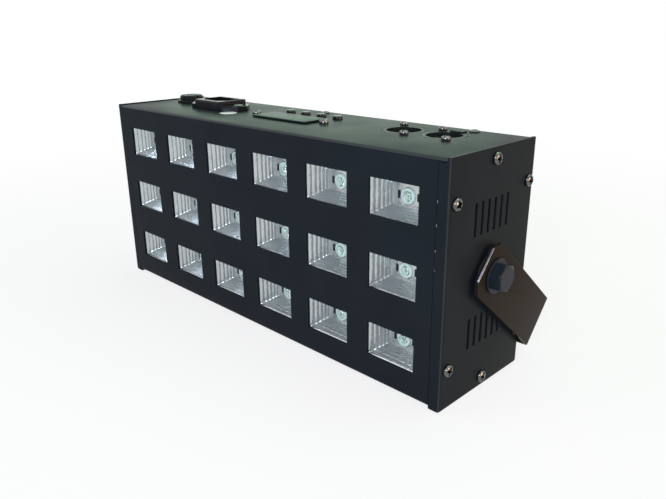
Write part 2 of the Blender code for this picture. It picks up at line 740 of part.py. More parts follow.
def turned(name, outline, coat, steps=24):
    """Turns an outline of (radius, height) points, given from the top down, about Z."""
    mesh = bmesh.new()
    verts = [mesh.verts.new((radius, 0, height)) for radius, height in outline]
    for first, second in zip(verts, verts[1:]):
        mesh.edges.new((first, second))
    made = finish(name, mesh, coat)
    step = made.modifiers.new("turn", "SCREW")
    step.steps = steps
    step.render_steps = steps
    step.use_smooth_shade = True
    step.use_merge_vertices = True
    step.merge_threshold = 0.00001
    return made


def button(index, place):
    """Push button: domed cap through the sheet and a collar that keeps it in."""
    top = Z_TOP + BUTTON_RISE
    collar = Z_SHELL_IN - FIT
    foot = collar - BUTTON_COLLAR_HEIGHT
    key = turned("button_%d" % (index + 1), [
        (0, top), (BUTTON_RADIUS * 0.5, top - BUTTON_EDGE * 0.12),
        (BUTTON_RADIUS * 0.85, top - BUTTON_EDGE * 0.45), (BUTTON_RADIUS, top - BUTTON_EDGE),
        (BUTTON_RADIUS, collar), (BUTTON_RADIUS + BUTTON_COLLAR, collar),
        (BUTTON_RADIUS + BUTTON_COLLAR, foot), (0, foot),
    ], BLACK_PLASTIC, 16)
    key.location = (*place, 0)
    return key


def screw(name, radius, height):
    """Pan head on a plain shank along Z, seated a fit's gap above height 0."""
    top = FIT + height
    return turned(name, [
        (0, top), (radius * 0.55, FIT + height * 0.93), (radius * 0.85, FIT + height * 0.7),
        (radius, FIT + height * 0.3), (radius, FIT), (SCREW_SHANK, FIT),
        (SCREW_SHANK, -SCREW_LENGTH), (0, -SCREW_LENGTH)], NICKEL, 12)


def end_screw(name, side, place):
    made = screw(name, SCREW_HEAD, SCREW_HEAD_HEIGHT)
    made.rotation_euler = (0, side * math.radians(90), 0)
    made.location = (side * X_END, *place)
    return made


def top_screw(name, place, radius, height):
    made = screw(name, radius, height)
    made.location = (*place, Z_TOP)
    return made


def socket_centres():
    """The male socket's middle, then the female one's."""
    x = X_END - SOCKET_FROM_END
    return [(x - SOCKET_PITCH, Y_SOCKET), (x, Y_SOCKET)]


def socket_screw_places(x, y):
    return [(x + side * SOCKET_SCREW_X, y - side * SOCKET_SCREW_Y) for side in (1, -1)]


def latch_place():
    """Middle of the release key, inside the rear edge of the female socket's flange."""
    x, y = socket_centres()[1]
    return x, y + SOCKET_DEPTH / 2 - LATCH_EDGE - LATCH_DEPTH / 2


def add_latch_slot(mesh, low, high):
    x, y = latch_place()
    add_box(mesh, (x - LATCH_WIDTH / 2 - FIT, y - LATCH_DEPTH / 2 - FIT, low),
            (x + LATCH_WIDTH / 2 + FIT, y + LATCH_DEPTH / 2 + FIT, high))


def socket_body(name, place):
    """Panel socket from below: flange under the sheet, barrel up through its hole.

    Its two screws come down through the sheet, so they are one solid with it.
    """
    seat = Z_SHELL_IN - FIT
    x, y = place
    mesh = bmesh.new()
    add_box(mesh, (x - SOCKET_WIDTH / 2, y - SOCKET_DEPTH / 2, seat - SOCKET_FLANGE),
            (x + SOCKET_WIDTH / 2, y + SOCKET_DEPTH / 2, seat))
    socket = finish(name, mesh, BLACK_PLASTIC)
    extra = bmesh.new()
    add_rod(extra, (x, y, Z_TOP - SOCKET_LENGTH), (x, y, Z_TOP), SOCKET_BARREL, 32)
    join(socket, "barrel", extra, "UNION")
    screws = bmesh.new()
    head = Z_TOP + FIT
    for spot in socket_screw_places(x, y):
        add_rod(screws, (*spot, seat - BITE), (*spot, head + SOCKET_SCREW_RISE / 2),
                SCREW_SHANK, 12)
        add_rod(screws, (*spot, head), (*spot, head + SOCKET_SCREW_RISE),
                SOCKET_SCREW_HEAD, 14, SOCKET_SCREW_HEAD - SOCKET_SCREW_RISE)
    join(socket, "screws", screws, "UNION", crossing=True)
    bore = bmesh.new()
    add_rod(bore, (x, y, Z_TOP - SOCKET_BORE_DEPTH), (x, y, Z_TOP + PAST), SOCKET_BORE, 32)
    join(socket, "bore", bore)
    return socket


def data_in():
    """Male socket: three pins standing in the bore."""
    x, y = socket_centres()[0]
    socket = socket_body("dmx_in", (x, y))
    floor = Z_TOP - SOCKET_BORE_DEPTH
    pins = bmesh.new()
    for index in range(3):
        turn = math.radians(90 + 120 * index)
        spot = (x + PIN_CIRCLE * math.cos(turn), y + PIN_CIRCLE * math.sin(turn))
        add_rod(pins, (*spot, floor - BITE), (*spot, floor + PIN_LENGTH), PIN_RADIUS, 10)
    join(socket, "pins", pins, "UNION")
    return socket


def data_out():
    """Female socket: an insert with three holes, and a slot for the release key."""
    x, y = socket_centres()[1]
    socket = socket_body("dmx_out", (x, y))
    top = Z_TOP - INSERT_DROP
    insert = bmesh.new()
    add_rod(insert, (x, y, Z_TOP - SOCKET_BORE_DEPTH - BITE), (x, y, top), INSERT_RADIUS, 28)
    join(socket, "insert", insert, "UNION")
    holes = bmesh.new()
    for index in range(3):
        turn = math.radians(-90 + 120 * index)
        spot = (x + PIN_CIRCLE * math.cos(turn), y + PIN_CIRCLE * math.sin(turn))
        add_rod(holes, (*spot, top - PIN_LENGTH), (*spot, top + PAST), PIN_RADIUS + FIT, 10)
    add_latch_slot(holes, Z_SHELL_IN - FIT - SOCKET_FLANGE - PAST, Z_TOP + PAST)
    join(socket, "holes", holes)
    return socket


def latch_key():
    """Release key of the female socket."""
    x, y = latch_place()
    mesh = bmesh.new()
    add_box(mesh, (x - LATCH_WIDTH / 2, y - LATCH_DEPTH / 2, Z_SHELL_IN - LATCH_FOOT),
            (x + LATCH_WIDTH / 2, y + LATCH_DEPTH / 2, Z_TOP + LATCH_RISE))
    key = finish("dmx_out_latch", mesh, BLACK_PLASTIC)
    bevel(key, LATCH_EASE, 2)
    return key


def upright_edges(mesh):
    return [edge for edge in mesh.edges
            if abs(edge.verts[0].co.z - edge.verts[1].co.z) > BITE]


def power_inlet():
    """Mains inlet: flange with cut corners, raised block, body below, three blades."""
    low = Z_TOP + FIT
    flange = low + INLET_FLANGE
    mesh = bmesh.new()
    add_box(mesh, (X_INLET - INLET_WIDTH / 2, Y_INLET - INLET_DEPTH / 2, low),
            (X_INLET + INLET_WIDTH / 2, Y_INLET + INLET_DEPTH / 2, flange))
    bmesh.ops.bevel(mesh, geom=upright_edges(mesh), offset=INLET_CORNER, segments=1,
                    affect="EDGES")
    inlet = finish("power_inlet", mesh, BLACK_PLASTIC)
    raised = bmesh.new()
    add_box(raised, (X_INLET - INLET_BLOCK_WIDTH / 2, Y_INLET - INLET_BLOCK_DEPTH / 2, flange - BITE),
            (X_INLET + INLET_BLOCK_WIDTH / 2, Y_INLET + INLET_BLOCK_DEPTH / 2, Z_INLET))
    rim = [edge for edge in raised.edges if max(end.co.z for end in edge.verts) > flange]
    bmesh.ops.bevel(raised, geom=rim, offset=INLET_EASE, segments=2, profile=0.5, affect="EDGES")
    join(inlet, "block", raised, "UNION")
    body = bmesh.new()
    add_box(body, (X_INLET - INLET_CUT_WIDTH / 2, Y_INLET - INLET_CUT_DEPTH / 2,
                   Z_INLET - INLET_BODY_LENGTH),
            (X_INLET + INLET_CUT_WIDTH / 2, Y_INLET + INLET_CUT_DEPTH / 2, low + BITE))
    for side in (-1, 1):
        place = (X_INLET + side * INLET_SCREW_SPACING / 2, Y_INLET)
        add_rod(body, (*place, flange - BITE), (*place, flange + INLET_SCREW_RISE),
                INLET_SCREW_HEAD, 14, INLET_SCREW_HEAD - INLET_SCREW_RISE)
    join(inlet, "body", body, "UNION")
    floor = Z_INLET - INLET_SOCKET_LENGTH
    cavity = bmesh.new()
    add_box(cavity, (X_INLET - INLET_SOCKET_WIDTH / 2, Y_INLET - INLET_SOCKET_DEPTH / 2, floor),
            (X_INLET + INLET_SOCKET_WIDTH / 2, Y_INLET + INLET_SOCKET_DEPTH / 2, Z_INLET + PAST))
    keyed = [edge for edge in upright_edges(cavity) if edge.verts[0].co.y < Y_INLET]
    bmesh.ops.bevel(cavity, geom=keyed, offset=INLET_CHAMFER, segments=1, affect="EDGES")
    join(inlet, "cavity", cavity)
    blades = bmesh.new()
    for across in (-1, 0, 1):
        x = X_INLET + across * BLADE_SPACING
        middle = Y_INLET + (BLADE_STAGGER / 2 if across else -BLADE_STAGGER / 2)
        add_box(blades, (x - BLADE_THICKNESS / 2, middle - BLADE_WIDTH / 2, floor - BITE),
                (x + BLADE_THICKNESS / 2, middle + BLADE_WIDTH / 2, floor + BLADE_LENGTH))
    join(inlet, "blades", blades, "UNION")
    return inlet


def fuse_holder():
    """Fuse holder's flange and barrel, open at the top for the cap's stem."""
    seat = Z_TOP + FIT
    top = seat + FUSE_FLANGE_RISE
    foot = top - FUSE_LENGTH
    holder = turned("fuse_holder", [
        (FUSE_BORE, top), (FUSE_FLANGE - FUSE_FLANGE_EASE, top),
        (FUSE_FLANGE, top - FUSE_FLANGE_EASE), (FUSE_FLANGE, seat), (FUSE_BARREL, seat),
        (FUSE_BARREL, foot), (0, foot), (0, foot + FUSE_FLOOR), (FUSE_BORE, foot + FUSE_FLOOR),
        (FUSE_BORE, top),
    ], BLACK_PLASTIC)
    holder.location = (X_FUSE, Y_FUSE, 0)
    return holder


def fuse_cap():
    """Turning cap with a screwdriver slot and a stem down into the holder."""
    seat = Z_TOP + FIT + FUSE_FLANGE_RISE + FIT
    top = seat + FUSE_CAP_RISE
    cap = turned("fuse_cap", [
        (0, top), (FUSE_CAP - FUSE_CAP_EASE, top), (FUSE_CAP, top - FUSE_CAP_EASE),
        (FUSE_CAP, seat), (FUSE_STEM, seat), (FUSE_STEM, seat - FUSE_STEM_LENGTH),
        (0, seat - FUSE_STEM_LENGTH),
    ], BLACK_PLASTIC)
    cap.location = (X_FUSE, Y_FUSE, 0)
    slot = bmesh.new()
    add_box(slot, (X_FUSE - FUSE_CAP - PAST, Y_FUSE - FUSE_SLOT / 2, top - FUSE_SLOT_DEPTH),
            (X_FUSE + FUSE_CAP + PAST, Y_FUSE + FUSE_SLOT / 2, top + PAST))
    join(cap, "slot", slot)
    return cap


def tilted(part):
    """Turns a piece drawn with the bracket pointing straight back down to its rest."""
    part.location = PIVOT
    part.rotation_euler = (-TILT, 0, 0)


def bracket():
    """U strap: two arms with chamfered ends, joined by a crossbar behind.

    Drawn about the pivot with the arms along +Y, as an open strap along its
    outer faces, and then tilted.
    """
    outer = X_END + SPACER + 2 * FIT + BRACKET_SHEET
    half = BRACKET_WIDTH / 2
    near, far = BRACKET_REACH - BRACKET_SHEET - PAST, BRACKET_REACH + PAST
    mesh = open_box((-outer, -BRACKET_END, -half), (outer, BRACKET_REACH, half),
                    ("-x", "+x", "+y"))
    strap = finish("bracket", mesh, BRACKET_COAT)
    bevel(strap, BRACKET_BEND, 4)
    thicken(strap, BRACKET_SHEET)
    tilted(strap)
    holes = bmesh.new()
    for side in (-1, 1):
        add_rod(holes, (side * (outer - BRACKET_SHEET - PAST), 0, 0),
                (side * (outer + PAST), 0, 0), BOLT_RADIUS + BOLT_CLEARANCE, 20)
        x = side * SIDE_HOLE_SPACING
        add_rod(holes, (x, near, 0), (x, far, 0), SIDE_HOLE, 16)
    add_rod(holes, (0, near, 0), (0, far, 0), HANG_HOLE, 20)
    join(strap, "holes", holes)
    tilted(strap.modifiers["holes"].object)
    corners = bmesh.new()
    edge = BRACKET_CORNER * math.sqrt(2)
    for up in (-1, 1):
        place = Matrix.Translation((0, -BRACKET_END, up * half))
        turn = Matrix.Rotation(math.radians(45), 4, "X")
        size = Matrix.Diagonal((2 * (outer + PAST), edge, edge, 1))
        bmesh.ops.create_cube(corners, size=1, matrix=place @ turn @ size)
    join(strap, "corners", corners)
    tilted(strap.modifiers["corners"].object)
    return strap


def pivot_spacer(name, side):
    """Nylon ring between the end panel and the bracket's arm."""
    start, end = X_END + FIT, X_END + FIT + SPACER
    mesh = bmesh.new()
    add_rod(mesh, (side * start, PIVOT.y, PIVOT.z), (side * end, PIVOT.y, PIVOT.z),
            SPACER_RADIUS, 28)
    ring = finish(name, mesh, NYLON)
    bore = bmesh.new()
    add_rod(bore, (side * (start - PAST), PIVOT.y, PIVOT.z),
            (side * (end + PAST), PIVOT.y, PIVOT.z), BOLT_RADIUS + BOLT_CLEARANCE, 20)
    join(ring, "bore", bore)
    return ring


def pivot_bolt(name, side):
    """Hexagon bolt with its washer, through arm and panel into a nut inside."""
    seat = X_END + SPACER + 3 * FIT + BRACKET_SHEET
    washer = seat + BOLT_WASHER
    mesh = bmesh.new()
    add_rod(mesh, (side * seat, 0, 0), (side * washer, 0, 0), BOLT_WASHER_RADIUS, 28)
    bolt = finish(name, mesh, BLACK_ZINC)
    bolt.location = PIVOT
    head = bmesh.new()
    add_rod(head, (side * (washer - BITE), 0, 0), (side * (washer + BOLT_HEAD_HEIGHT), 0, 0),
            BOLT_HEAD / math.sqrt(3), 6)
    flat = Matrix.Rotation(math.radians(90) - TILT, 4, "X")
    bmesh.ops.transform(head, matrix=flat, verts=head.verts)
    shank = bmesh.new()
    add_rod(shank, (side * (X_INNER - BOLT_LENGTH), 0, 0), (side * (seat + BITE), 0, 0),
            BOLT_RADIUS, 20)
    nut = bmesh.new()
    add_rod(nut, (side * (X_SHELL - NUT_LENGTH), 0, 0), (side * X_SHELL, 0, 0), NUT_RADIUS, 6)
    for piece, shape in (("head", head), ("shank", shank), ("nut", nut)):
        join(bolt, piece, shape, "UNION")
        bolt.modifiers[piece].object.location = PIVOT
    return bolt


def build():
    front_shell()
    back_cover()
    end_panel("left_end_panel", -1)
    end_panel("right_end_panel", 1)
    reflector_tray()
    for column, row in WINDOWS:
        emitter(column, row)
    led_board()
    heat_sink()
    power_supply()
    control_board()
    display_window()
    for index, place in enumerate(button_places()):
        button(index, place)
    for index, place in enumerate(display_screw_places()):
        top_screw("display_screw_%s" % ("left", "right")[index], place,
                  DISPLAY_SCREW_HEAD, DISPLAY_SCREW_HEIGHT)
    for index, place in enumerate(cover_screw_places()):
        top_screw("cover_screw_%s" % ("left", "middle", "right")[index], place,
                  COVER_SCREW_HEAD, COVER_SCREW_HEIGHT)
    data_in()
    data_out()
    latch_key()
    power_inlet()
    fuse_holder()
    fuse_cap()
    for side, end in ((-1, "left"), (1, "right")):
        for name, place in end_screw_places().items():
            end_screw("%s_screw_%s" % (end, name), side, place)
        pivot_spacer("%s_pivot_spacer" % end, side)
        pivot_bolt("%s_pivot_bolt" % end, side)
    bracket()


build()
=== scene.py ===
"""Looks of the ultraviolet wash light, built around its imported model.

Metres, +Z up, and the front looks along -Y. New pieces are surfaces worked out as arrays of rings of points, and
each stands where its node stands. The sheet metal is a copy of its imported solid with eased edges.
"""

import math

import bmesh
import bpy
import numpy as np
from mathutils import Matrix, Vector

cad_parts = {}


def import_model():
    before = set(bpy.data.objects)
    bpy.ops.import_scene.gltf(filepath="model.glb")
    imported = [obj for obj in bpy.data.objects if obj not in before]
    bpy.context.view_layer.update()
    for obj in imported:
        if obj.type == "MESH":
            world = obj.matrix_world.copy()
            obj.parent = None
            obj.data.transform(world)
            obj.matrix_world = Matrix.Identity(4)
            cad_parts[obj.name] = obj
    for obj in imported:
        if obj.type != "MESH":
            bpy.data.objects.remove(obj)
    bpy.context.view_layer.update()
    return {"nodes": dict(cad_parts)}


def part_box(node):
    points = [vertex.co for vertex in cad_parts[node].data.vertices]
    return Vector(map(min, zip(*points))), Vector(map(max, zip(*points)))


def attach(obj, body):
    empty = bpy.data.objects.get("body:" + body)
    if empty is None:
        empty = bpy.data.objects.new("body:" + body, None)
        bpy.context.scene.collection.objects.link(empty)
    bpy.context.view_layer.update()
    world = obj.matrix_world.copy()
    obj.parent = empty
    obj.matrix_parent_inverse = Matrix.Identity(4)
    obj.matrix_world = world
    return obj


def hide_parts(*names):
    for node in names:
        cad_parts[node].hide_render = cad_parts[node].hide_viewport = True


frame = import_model()
NODES = frame["nodes"]

MM = 0.001
ROWS = 3
COLUMNS = 6

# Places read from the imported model
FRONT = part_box("front_shell")[0].y
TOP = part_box("front_shell")[1].z
MIDDLE_Z = sum(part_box("emitter_2_1")[i].z for i in (0, 1)) / 2
PANEL_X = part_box("right_end_panel")[1].x
SEAM_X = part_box("right_end_panel")[0].x
TRAY_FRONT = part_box("reflector_tray")[0].y

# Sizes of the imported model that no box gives
SHEET = 1.2 * MM
BRACKET_TILT = math.radians(40.2)


def middle(node):
    low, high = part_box(node)
    return (low + high) / 2


# Colours and materials

def linear(hex_code):
    """Linear colour with alpha 1 from an sRGB hex code."""
    parts = [int(hex_code[i:i + 2], 16) / 255 for i in (1, 3, 5)]
    return (*[c / 12.92 if c <= 0.04045 else ((c + 0.055) / 1.055) ** 2.4 for c in parts], 1)


def add_node(tree, kind, values=None, **settings):
    """Adds a node: settings are its properties, values its inputs, each a constant or a socket to link."""
    made = tree.nodes.new("ShaderNode" + kind)
    for key, value in settings.items():
        setattr(made, key, value)
    for key, value in (values or {}).items():
        if isinstance(value, bpy.types.NodeSocket):
            tree.links.new(value, made.inputs[key])
        else:
            made.inputs[key].default_value = value
    return made


def start_material(name, **sockets):
    """A material with its Principled shader's constant sockets set, and its Object coordinates."""
    made = bpy.data.materials.new(name)
    made.use_nodes = True
    tree = made.node_tree
    shader = tree.nodes["Principled BSDF"]
    for key, value in sockets.items():
        shader.inputs[key.replace("_", " ")].default_value = value
    where = add_node(tree, "TexCoord").outputs["Object"]
    return made, tree, shader, where


def blend_colours(tree, amount, low, high):
    """Mixes two colours by a 0 to 1 socket."""
    mixed = add_node(tree, "Mix", {"Factor": amount}, data_type="RGBA")
    for key, value in (("A", low), ("B", high)):
        socket = [s for s in mixed.inputs if s.name == key and s.type == "RGBA"][0]
        if isinstance(value, bpy.types.NodeSocket):
            tree.links.new(value, socket)
        else:
            socket.default_value = value
    return [s for s in mixed.outputs if s.type == "RGBA"][0]


CHIP_SQUEEZE = (1.0, 1.0, 0.35)
CHIP_CORE = 0.35
CHIPPED_PRIMER = "#7d7a7c"


def chipped_specks(tree, where, chips):
    """1 inside any chip: a ball drawn out along Z, whose edge is its radius times a core share and some noise."""
    specks = None
    for place, radius in chips:
        squeezed = add_node(tree, "Mapping", {"Vector": where, "Scale": CHIP_SQUEEZE,
                                              "Location": [-v * k for v, k in zip(place, CHIP_SQUEEZE)]})
        away = add_node(tree, "VectorMath", {0: squeezed.outputs["Vector"]}, operation="LENGTH")
        ragged = add_node(tree, "TexNoise", {"Vector": where, "Scale": 1 / (0.5 * MM)})
        edge = add_node(tree, "Math", {0: ragged.outputs["Fac"], 1: radius, 2: CHIP_CORE * radius},
                        operation="MULTIPLY_ADD")
        inside = add_node(tree, "Math", {0: away.outputs["Value"], 1: edge.outputs[0]}, operation="LESS_THAN")
        if specks is not None:
            inside = add_node(tree, "Math", {0: inside.outputs[0], 1: specks}, operation="MAXIMUM")
        specks = inside.outputs[0]
    return specks


def powder_coat(name, hex_code, worn_hex, roughness, sheen, chips=()):
    """Black powder coat baked on steel: fine orange peel, a little cloudy, with pale specks where it is chipped."""
    made, tree, shader, where = start_material(name, Specular_IOR_Level=sheen)
    peel_pitch = 1.1 * MM
    cloud_pitch = 34 * MM
    peel = add_node(tree, "TexNoise", {"Vector": where, "Scale": 1 / peel_pitch,
                                       "Detail": 2.0, "Roughness": 0.55})
    cloud = add_node(tree, "TexNoise", {"Vector": where, "Scale": 1 / cloud_pitch, "Detail": 3.0})
    paint = blend_colours(tree, cloud.outputs["Fac"], linear(hex_code), linear(worn_hex))
    rough = add_node(tree, "MapRange", {"Value": cloud.outputs["Fac"], "From Min": 0.3, "From Max": 0.7,
                                        "To Min": roughness - 0.04, "To Max": roughness + 0.05})
    bump = add_node(tree, "Bump", {"Height": peel.outputs["Fac"], "Distance": 0.03 * MM, "Strength": 0.55})
    if chips:
        paint = blend_colours(tree, chipped_specks(tree, where, chips), paint, linear(CHIPPED_PRIMER))
    tree.links.new(paint, shader.inputs["Base Color"])
    tree.links.new(rough.outputs["Result"], shader.inputs["Roughness"])
    tree.links.new(bump.outputs["Normal"], shader.inputs["Normal"])
    return made


def metallised_plastic():
    """Vacuum metallised reflector: bright aluminium film, slightly wavy from the moulding under it."""
    made, tree, shader, where = start_material("vacuum_metallised_abs", Metallic=0.78, Roughness=0.12)
    ripple_pitch = 1.3 * MM
    haze_pitch = 6 * MM
    ripple = add_node(tree, "TexNoise", {"Vector": where, "Scale": 1 / ripple_pitch, "Detail": 3.0})
    haze = add_node(tree, "TexNoise", {"Vector": where, "Scale": 1 / haze_pitch})
    tint = blend_colours(tree, haze.outputs["Fac"], linear("#b0b6b7"), linear("#c9cecd"))
    bump = add_node(tree, "Bump", {"Height": ripple.outputs["Fac"], "Distance": 0.17 * MM, "Strength": 0.9})
    tree.links.new(tint, shader.inputs["Base Color"])
    tree.links.new(bump.outputs["Normal"], shader.inputs["Normal"])
    return made


def plated_steel(name, light_hex, dark_hex, roughness, mark_pitch=0.35 * MM):
    """Plated metal hardware: bright, with fine marks from tumbling in the plating tank and faint stains."""
    made, tree, shader, where = start_material(name, Metallic=1.0)
    stain_pitch = 2.4 * MM
    marks = add_node(tree, "TexNoise", {"Vector": where, "Scale": 1 / mark_pitch, "Detail": 3.0})
    stain = add_node(tree, "TexNoise", {"Vector": where, "Scale": 1 / stain_pitch, "Detail": 2.0})
    tint = blend_colours(tree, stain.outputs["Fac"], linear(dark_hex), linear(light_hex))
    rough = add_node(tree, "MapRange", {"Value": marks.outputs["Fac"], "From Min": 0.3, "From Max": 0.7,
                                        "To Min": roughness - 0.06, "To Max": roughness + 0.1})
    tree.links.new(tint, shader.inputs["Base Color"])
    tree.links.new(rough.outputs["Result"], shader.inputs["Roughness"])
    return made


def moulded_plastic(name, hex_code, roughness, grain_pitch=0.5 * MM, grain=0.25, sheen=0.5):
    """Injection moulded plastic: faint texture from the mould, and gloss and tone that vary with the flow."""
    made, tree, shader, where = start_material(name, Specular_IOR_Level=sheen)
    flow_pitch = 9 * MM
    lighter = 1.35
    texture = add_node(tree, "TexNoise", {"Vector": where, "Scale": 1 / grain_pitch, "Detail": 2.0})
    flow = add_node(tree, "TexNoise", {"Vector": where, "Scale": 1 / flow_pitch})
    rough = add_node(tree, "MapRange", {"Value": flow.outputs["Fac"], "From Min": 0.3, "From Max": 0.7,
                                        "To Min": roughness - 0.04, "To Max": roughness + 0.06})
    bump = add_node(tree, "Bump", {"Height": texture.outputs["Fac"], "Distance": 0.02 * MM, "Strength": grain})
    tone = blend_colours(tree, flow.outputs["Fac"], linear(hex_code),
                         tuple(lighter * c for c in linear(hex_code)[:3]) + (1,))
    tree.links.new(tone, shader.inputs["Base Color"])
    tree.links.new(rough.outputs["Result"], shader.inputs["Roughness"])
    tree.links.new(bump.outputs["Normal"], shader.inputs["Normal"])
    return made


def clear_epoxy():
    """Cast epoxy dome: clear with a faint mint tint, glass smooth."""
    made, tree, shader, where = start_material("cast_clear_epoxy", Roughness=0.03, IOR=1.5,
                                               Transmission_Weight=1.0)
    cloud_pitch = 1.5 * MM
    cloud = add_node(tree, "TexNoise", {"Vector": where, "Scale": 1 / cloud_pitch})
    tint = blend_colours(tree, cloud.outputs["Fac"], linear("#eef8f3"), linear("#f9fcfb"))
    tree.links.new(tint, shader.inputs["Base Color"])
    return made


def smoked_acrylic():
    """Tinted display window: dark blue-green acrylic, once polished, now with faint rubbing."""
    made, tree, shader, where = start_material("smoked_acrylic", Specular_IOR_Level=0.05)
    rub_pitch = 5 * MM
    rub = add_node(tree, "TexNoise", {"Vector": where, "Scale": 1 / rub_pitch, "Detail": 4.0})
    tint = blend_colours(tree, rub.outputs["Fac"], linear("#14201f"), linear("#1d2b29"))
    rough = add_node(tree, "MapRange", {"Value": rub.outputs["Fac"], "To Min": 0.2, "To Max": 0.4})
    tree.links.new(tint, shader.inputs["Base Color"])
    tree.links.new(rough.outputs["Result"], shader.inputs["Roughness"])
    return made


def solder_mask(name, hex_code, other_hex, pitch):
    """Printed board: lacquer over copper, whose tracks show as slightly lighter raised bands."""
    made, tree, shader, where = start_material(name, Roughness=0.35)
    bands_per_unit = 10
    tracks = add_node(tree, "TexWave", {"Vector": where, "Scale": 1 / pitch / bands_per_unit,
                                        "Distortion": 2.5, "Detail": 1.0}, bands_direction="DIAGONAL")
    band = add_node(tree, "MapRange", {"Value": tracks.outputs["Fac"], "From Min": 0.45, "From Max": 0.55})
    tint = blend_colours(tree, band.outputs["Result"], linear(hex_code), linear(other_hex))
    bump = add_node(tree, "Bump", {"Height": band.outputs["Result"], "Distance": 0.035 * MM, "Strength": 0.6})
    tree.links.new(tint, shader.inputs["Base Color"])
    tree.links.new(bump.outputs["Normal"], shader.inputs["Normal"])
    return made


def extruded_aluminium():
    """Extruded aluminium: fine die lines along the extrusion, which stands upright here."""
    made, tree, shader, where = start_material("extruded_aluminium", Metallic=1.0)
    line_pitch, line_length = 0.4 * MM, 60 * MM
    stretch = add_node(tree, "Mapping", {"Vector": where, "Scale": (1 / line_pitch, 1 / line_pitch, 1 / line_length)})
    lines = add_node(tree, "TexNoise", {"Vector": stretch.outputs["Vector"], "Scale": 1.0, "Detail": 2.0})
    tint = blend_colours(tree, lines.outputs["Fac"], linear("#8f9294"), linear("#b9bcbe"))
    rough = add_node(tree, "MapRange", {"Value": lines.outputs["Fac"], "To Min": 0.3, "To Max": 0.5})
    tree.links.new(tint, shader.inputs["Base Color"])
    tree.links.new(rough.outputs["Result"], shader.inputs["Roughness"])
    return made


def gloss_vinyl():
    """Blank gloss vinyl disc: off white, with the faint fibre of its backing."""
    made, tree, shader, where = start_material("gloss_vinyl", Roughness=0.3)
    fibre_pitch = 0.9 * MM
    fibre = add_node(tree, "TexNoise", {"Vector": where, "Scale": 1 / fibre_pitch, "Detail": 4.0})
    tint = blend_colours(tree, fibre.outputs["Fac"], linear("#d9d6d2"), linear("#f1efec"))
    tree.links.new(tint, shader.inputs["Base Color"])
    return made


# Chips where the right end panel's fold meets the front: height over the middle row and radius, in mm
CHIPS = [((SEAM_X + 0.2 * MM, FRONT, MIDDLE_Z + height * MM), radius * MM)
         for height, radius in ((42.5, 0.3), (31.5, 0.28), (19.4, 0.28), (9.9, 0.2))]

# Housing: cool satin black that hardly mirrors
COAT = powder_coat("black_powder_coat", "#1b1f23", "#23282c", 0.32, 0.02, CHIPS)
# Folds and cut edges: a greyer, a little glossier copy of the coat, a painted highlight that draws a thin light line
BEND_HIGHLIGHT_COAT = powder_coat("powder_coat_painted_highlight_on_bends", "#24282b", "#2e3235", 0.3, 0.15)
# Bracket: the same powder in a warmer black, a painted warm reflection
BRACKET_COAT_WARM_REFLECTION = powder_coat("bracket_powder_coat", "#1f1b19", "#29241f", 0.32, 0.02)
# Bracket's arm ends: a bright bluish line of steel, a painted highlight along the cut edge
EDGE_HIGHLIGHT_STEEL = plated_steel("steel_painted_edge_highlight", "#6f7c88", "#4a535c", 0.3)
# Pivot bolts: matt blue-black
BOLT_STEEL = powder_coat("black_oxide_steel", "#191f26", "#222930", 0.32, 0.1)
# Screws: bright nickel with small hard highlights, and a darker copy down in the cross, painted shade in the recess
SCREW_STEEL = plated_steel("nickel_plated_steel", "#7f807e", "#3c3c3b", 0.16)
RECESS_SHADE_STEEL = plated_steel("nickel_plate_painted_shade_in_recess", "#3a3835", "#211f1d", 0.45)
# Contacts: pale warm tin
PIN_METAL = plated_steel("tin_plated_brass", "#cfc9b8", "#a79f8a", 0.25)
# Emitters: dark leads, a silvery chip, a mint white ring and a clear dome
LEAD_METAL = plated_steel("tarnished_lead_frame", "#3a3c3b", "#202221", 0.4)
DIE = plated_steel("silicon_die", "#b3bfb9", "#8f9b95", 0.3)
EMITTER_WHITE = moulded_plastic("white_lead_frame_resin", "#bccfc6", 0.3, 0.6 * MM, 0.1)
EPOXY = clear_epoxy()
FILM = metallised_plastic()
# Sockets and fuse: greenish matt black; inlet and buttons: smooth gloss black; spacers: plain dull black
SOCKET_BLACK = moulded_plastic("glass_filled_nylon", "#171b1a", 0.4, 0.5 * MM, 0.25, 0.1)
GLOSS_BLACK = moulded_plastic("gloss_black_abs", "#14151a", 0.2, 1.2 * MM, 0.1, 0.2)
NYLON = moulded_plastic("black_nylon", "#1a1a1a", 0.5)
ACRYLIC = smoked_acrylic()
# Boards: white mask painted down to grey-green behind the reflectors, painted shade; the usual green elsewhere
BOARD_SHADED_WHITE = solder_mask("white_solder_mask", "#9aa5a0", "#b0bab5", 3 * MM)
BOARD_GREEN = solder_mask("green_solder_mask", "#1c4a2c", "#2a6a3c", 1.5 * MM)
EXTRUSION = extruded_aluminium()
VINYL = gloss_vinyl()


# Surfaces as rings of points

def corner_ring(half_x, half_y, radius, corner_points, z=0.0):
    """One ring of a rounded rectangle, anticlockwise: a quarter circle of points about each corner's centre."""
    turn = np.linspace(0, math.pi / 2, corner_points)
    turns = np.concatenate([turn + k * math.pi / 2 for k in range(4)])
    sign_x = np.repeat([1, -1, -1, 1], corner_points)
    sign_y = np.repeat([1, 1, -1, -1], corner_points)
    radius = min(radius, half_x, half_y)
    x = sign_x * (half_x - radius) + radius * np.cos(turns)
    y = sign_y * (half_y - radius) + radius * np.sin(turns)
    return np.stack([x, y, np.full_like(x, z)], -1)


def round_rings(profile, count):
    """Rings of a turned shape: each (radius, z) of the profile becomes a circle of count points."""
    turn = np.linspace(0, 2 * math.pi, count, endpoint=False)
    radius, z = np.array(profile, float).T
    x = radius[:, None] * np.cos(turn)
    y = radius[:, None] * np.sin(turn)
    return np.stack([x, y, np.broadcast_to(z[:, None], x.shape)], -1)


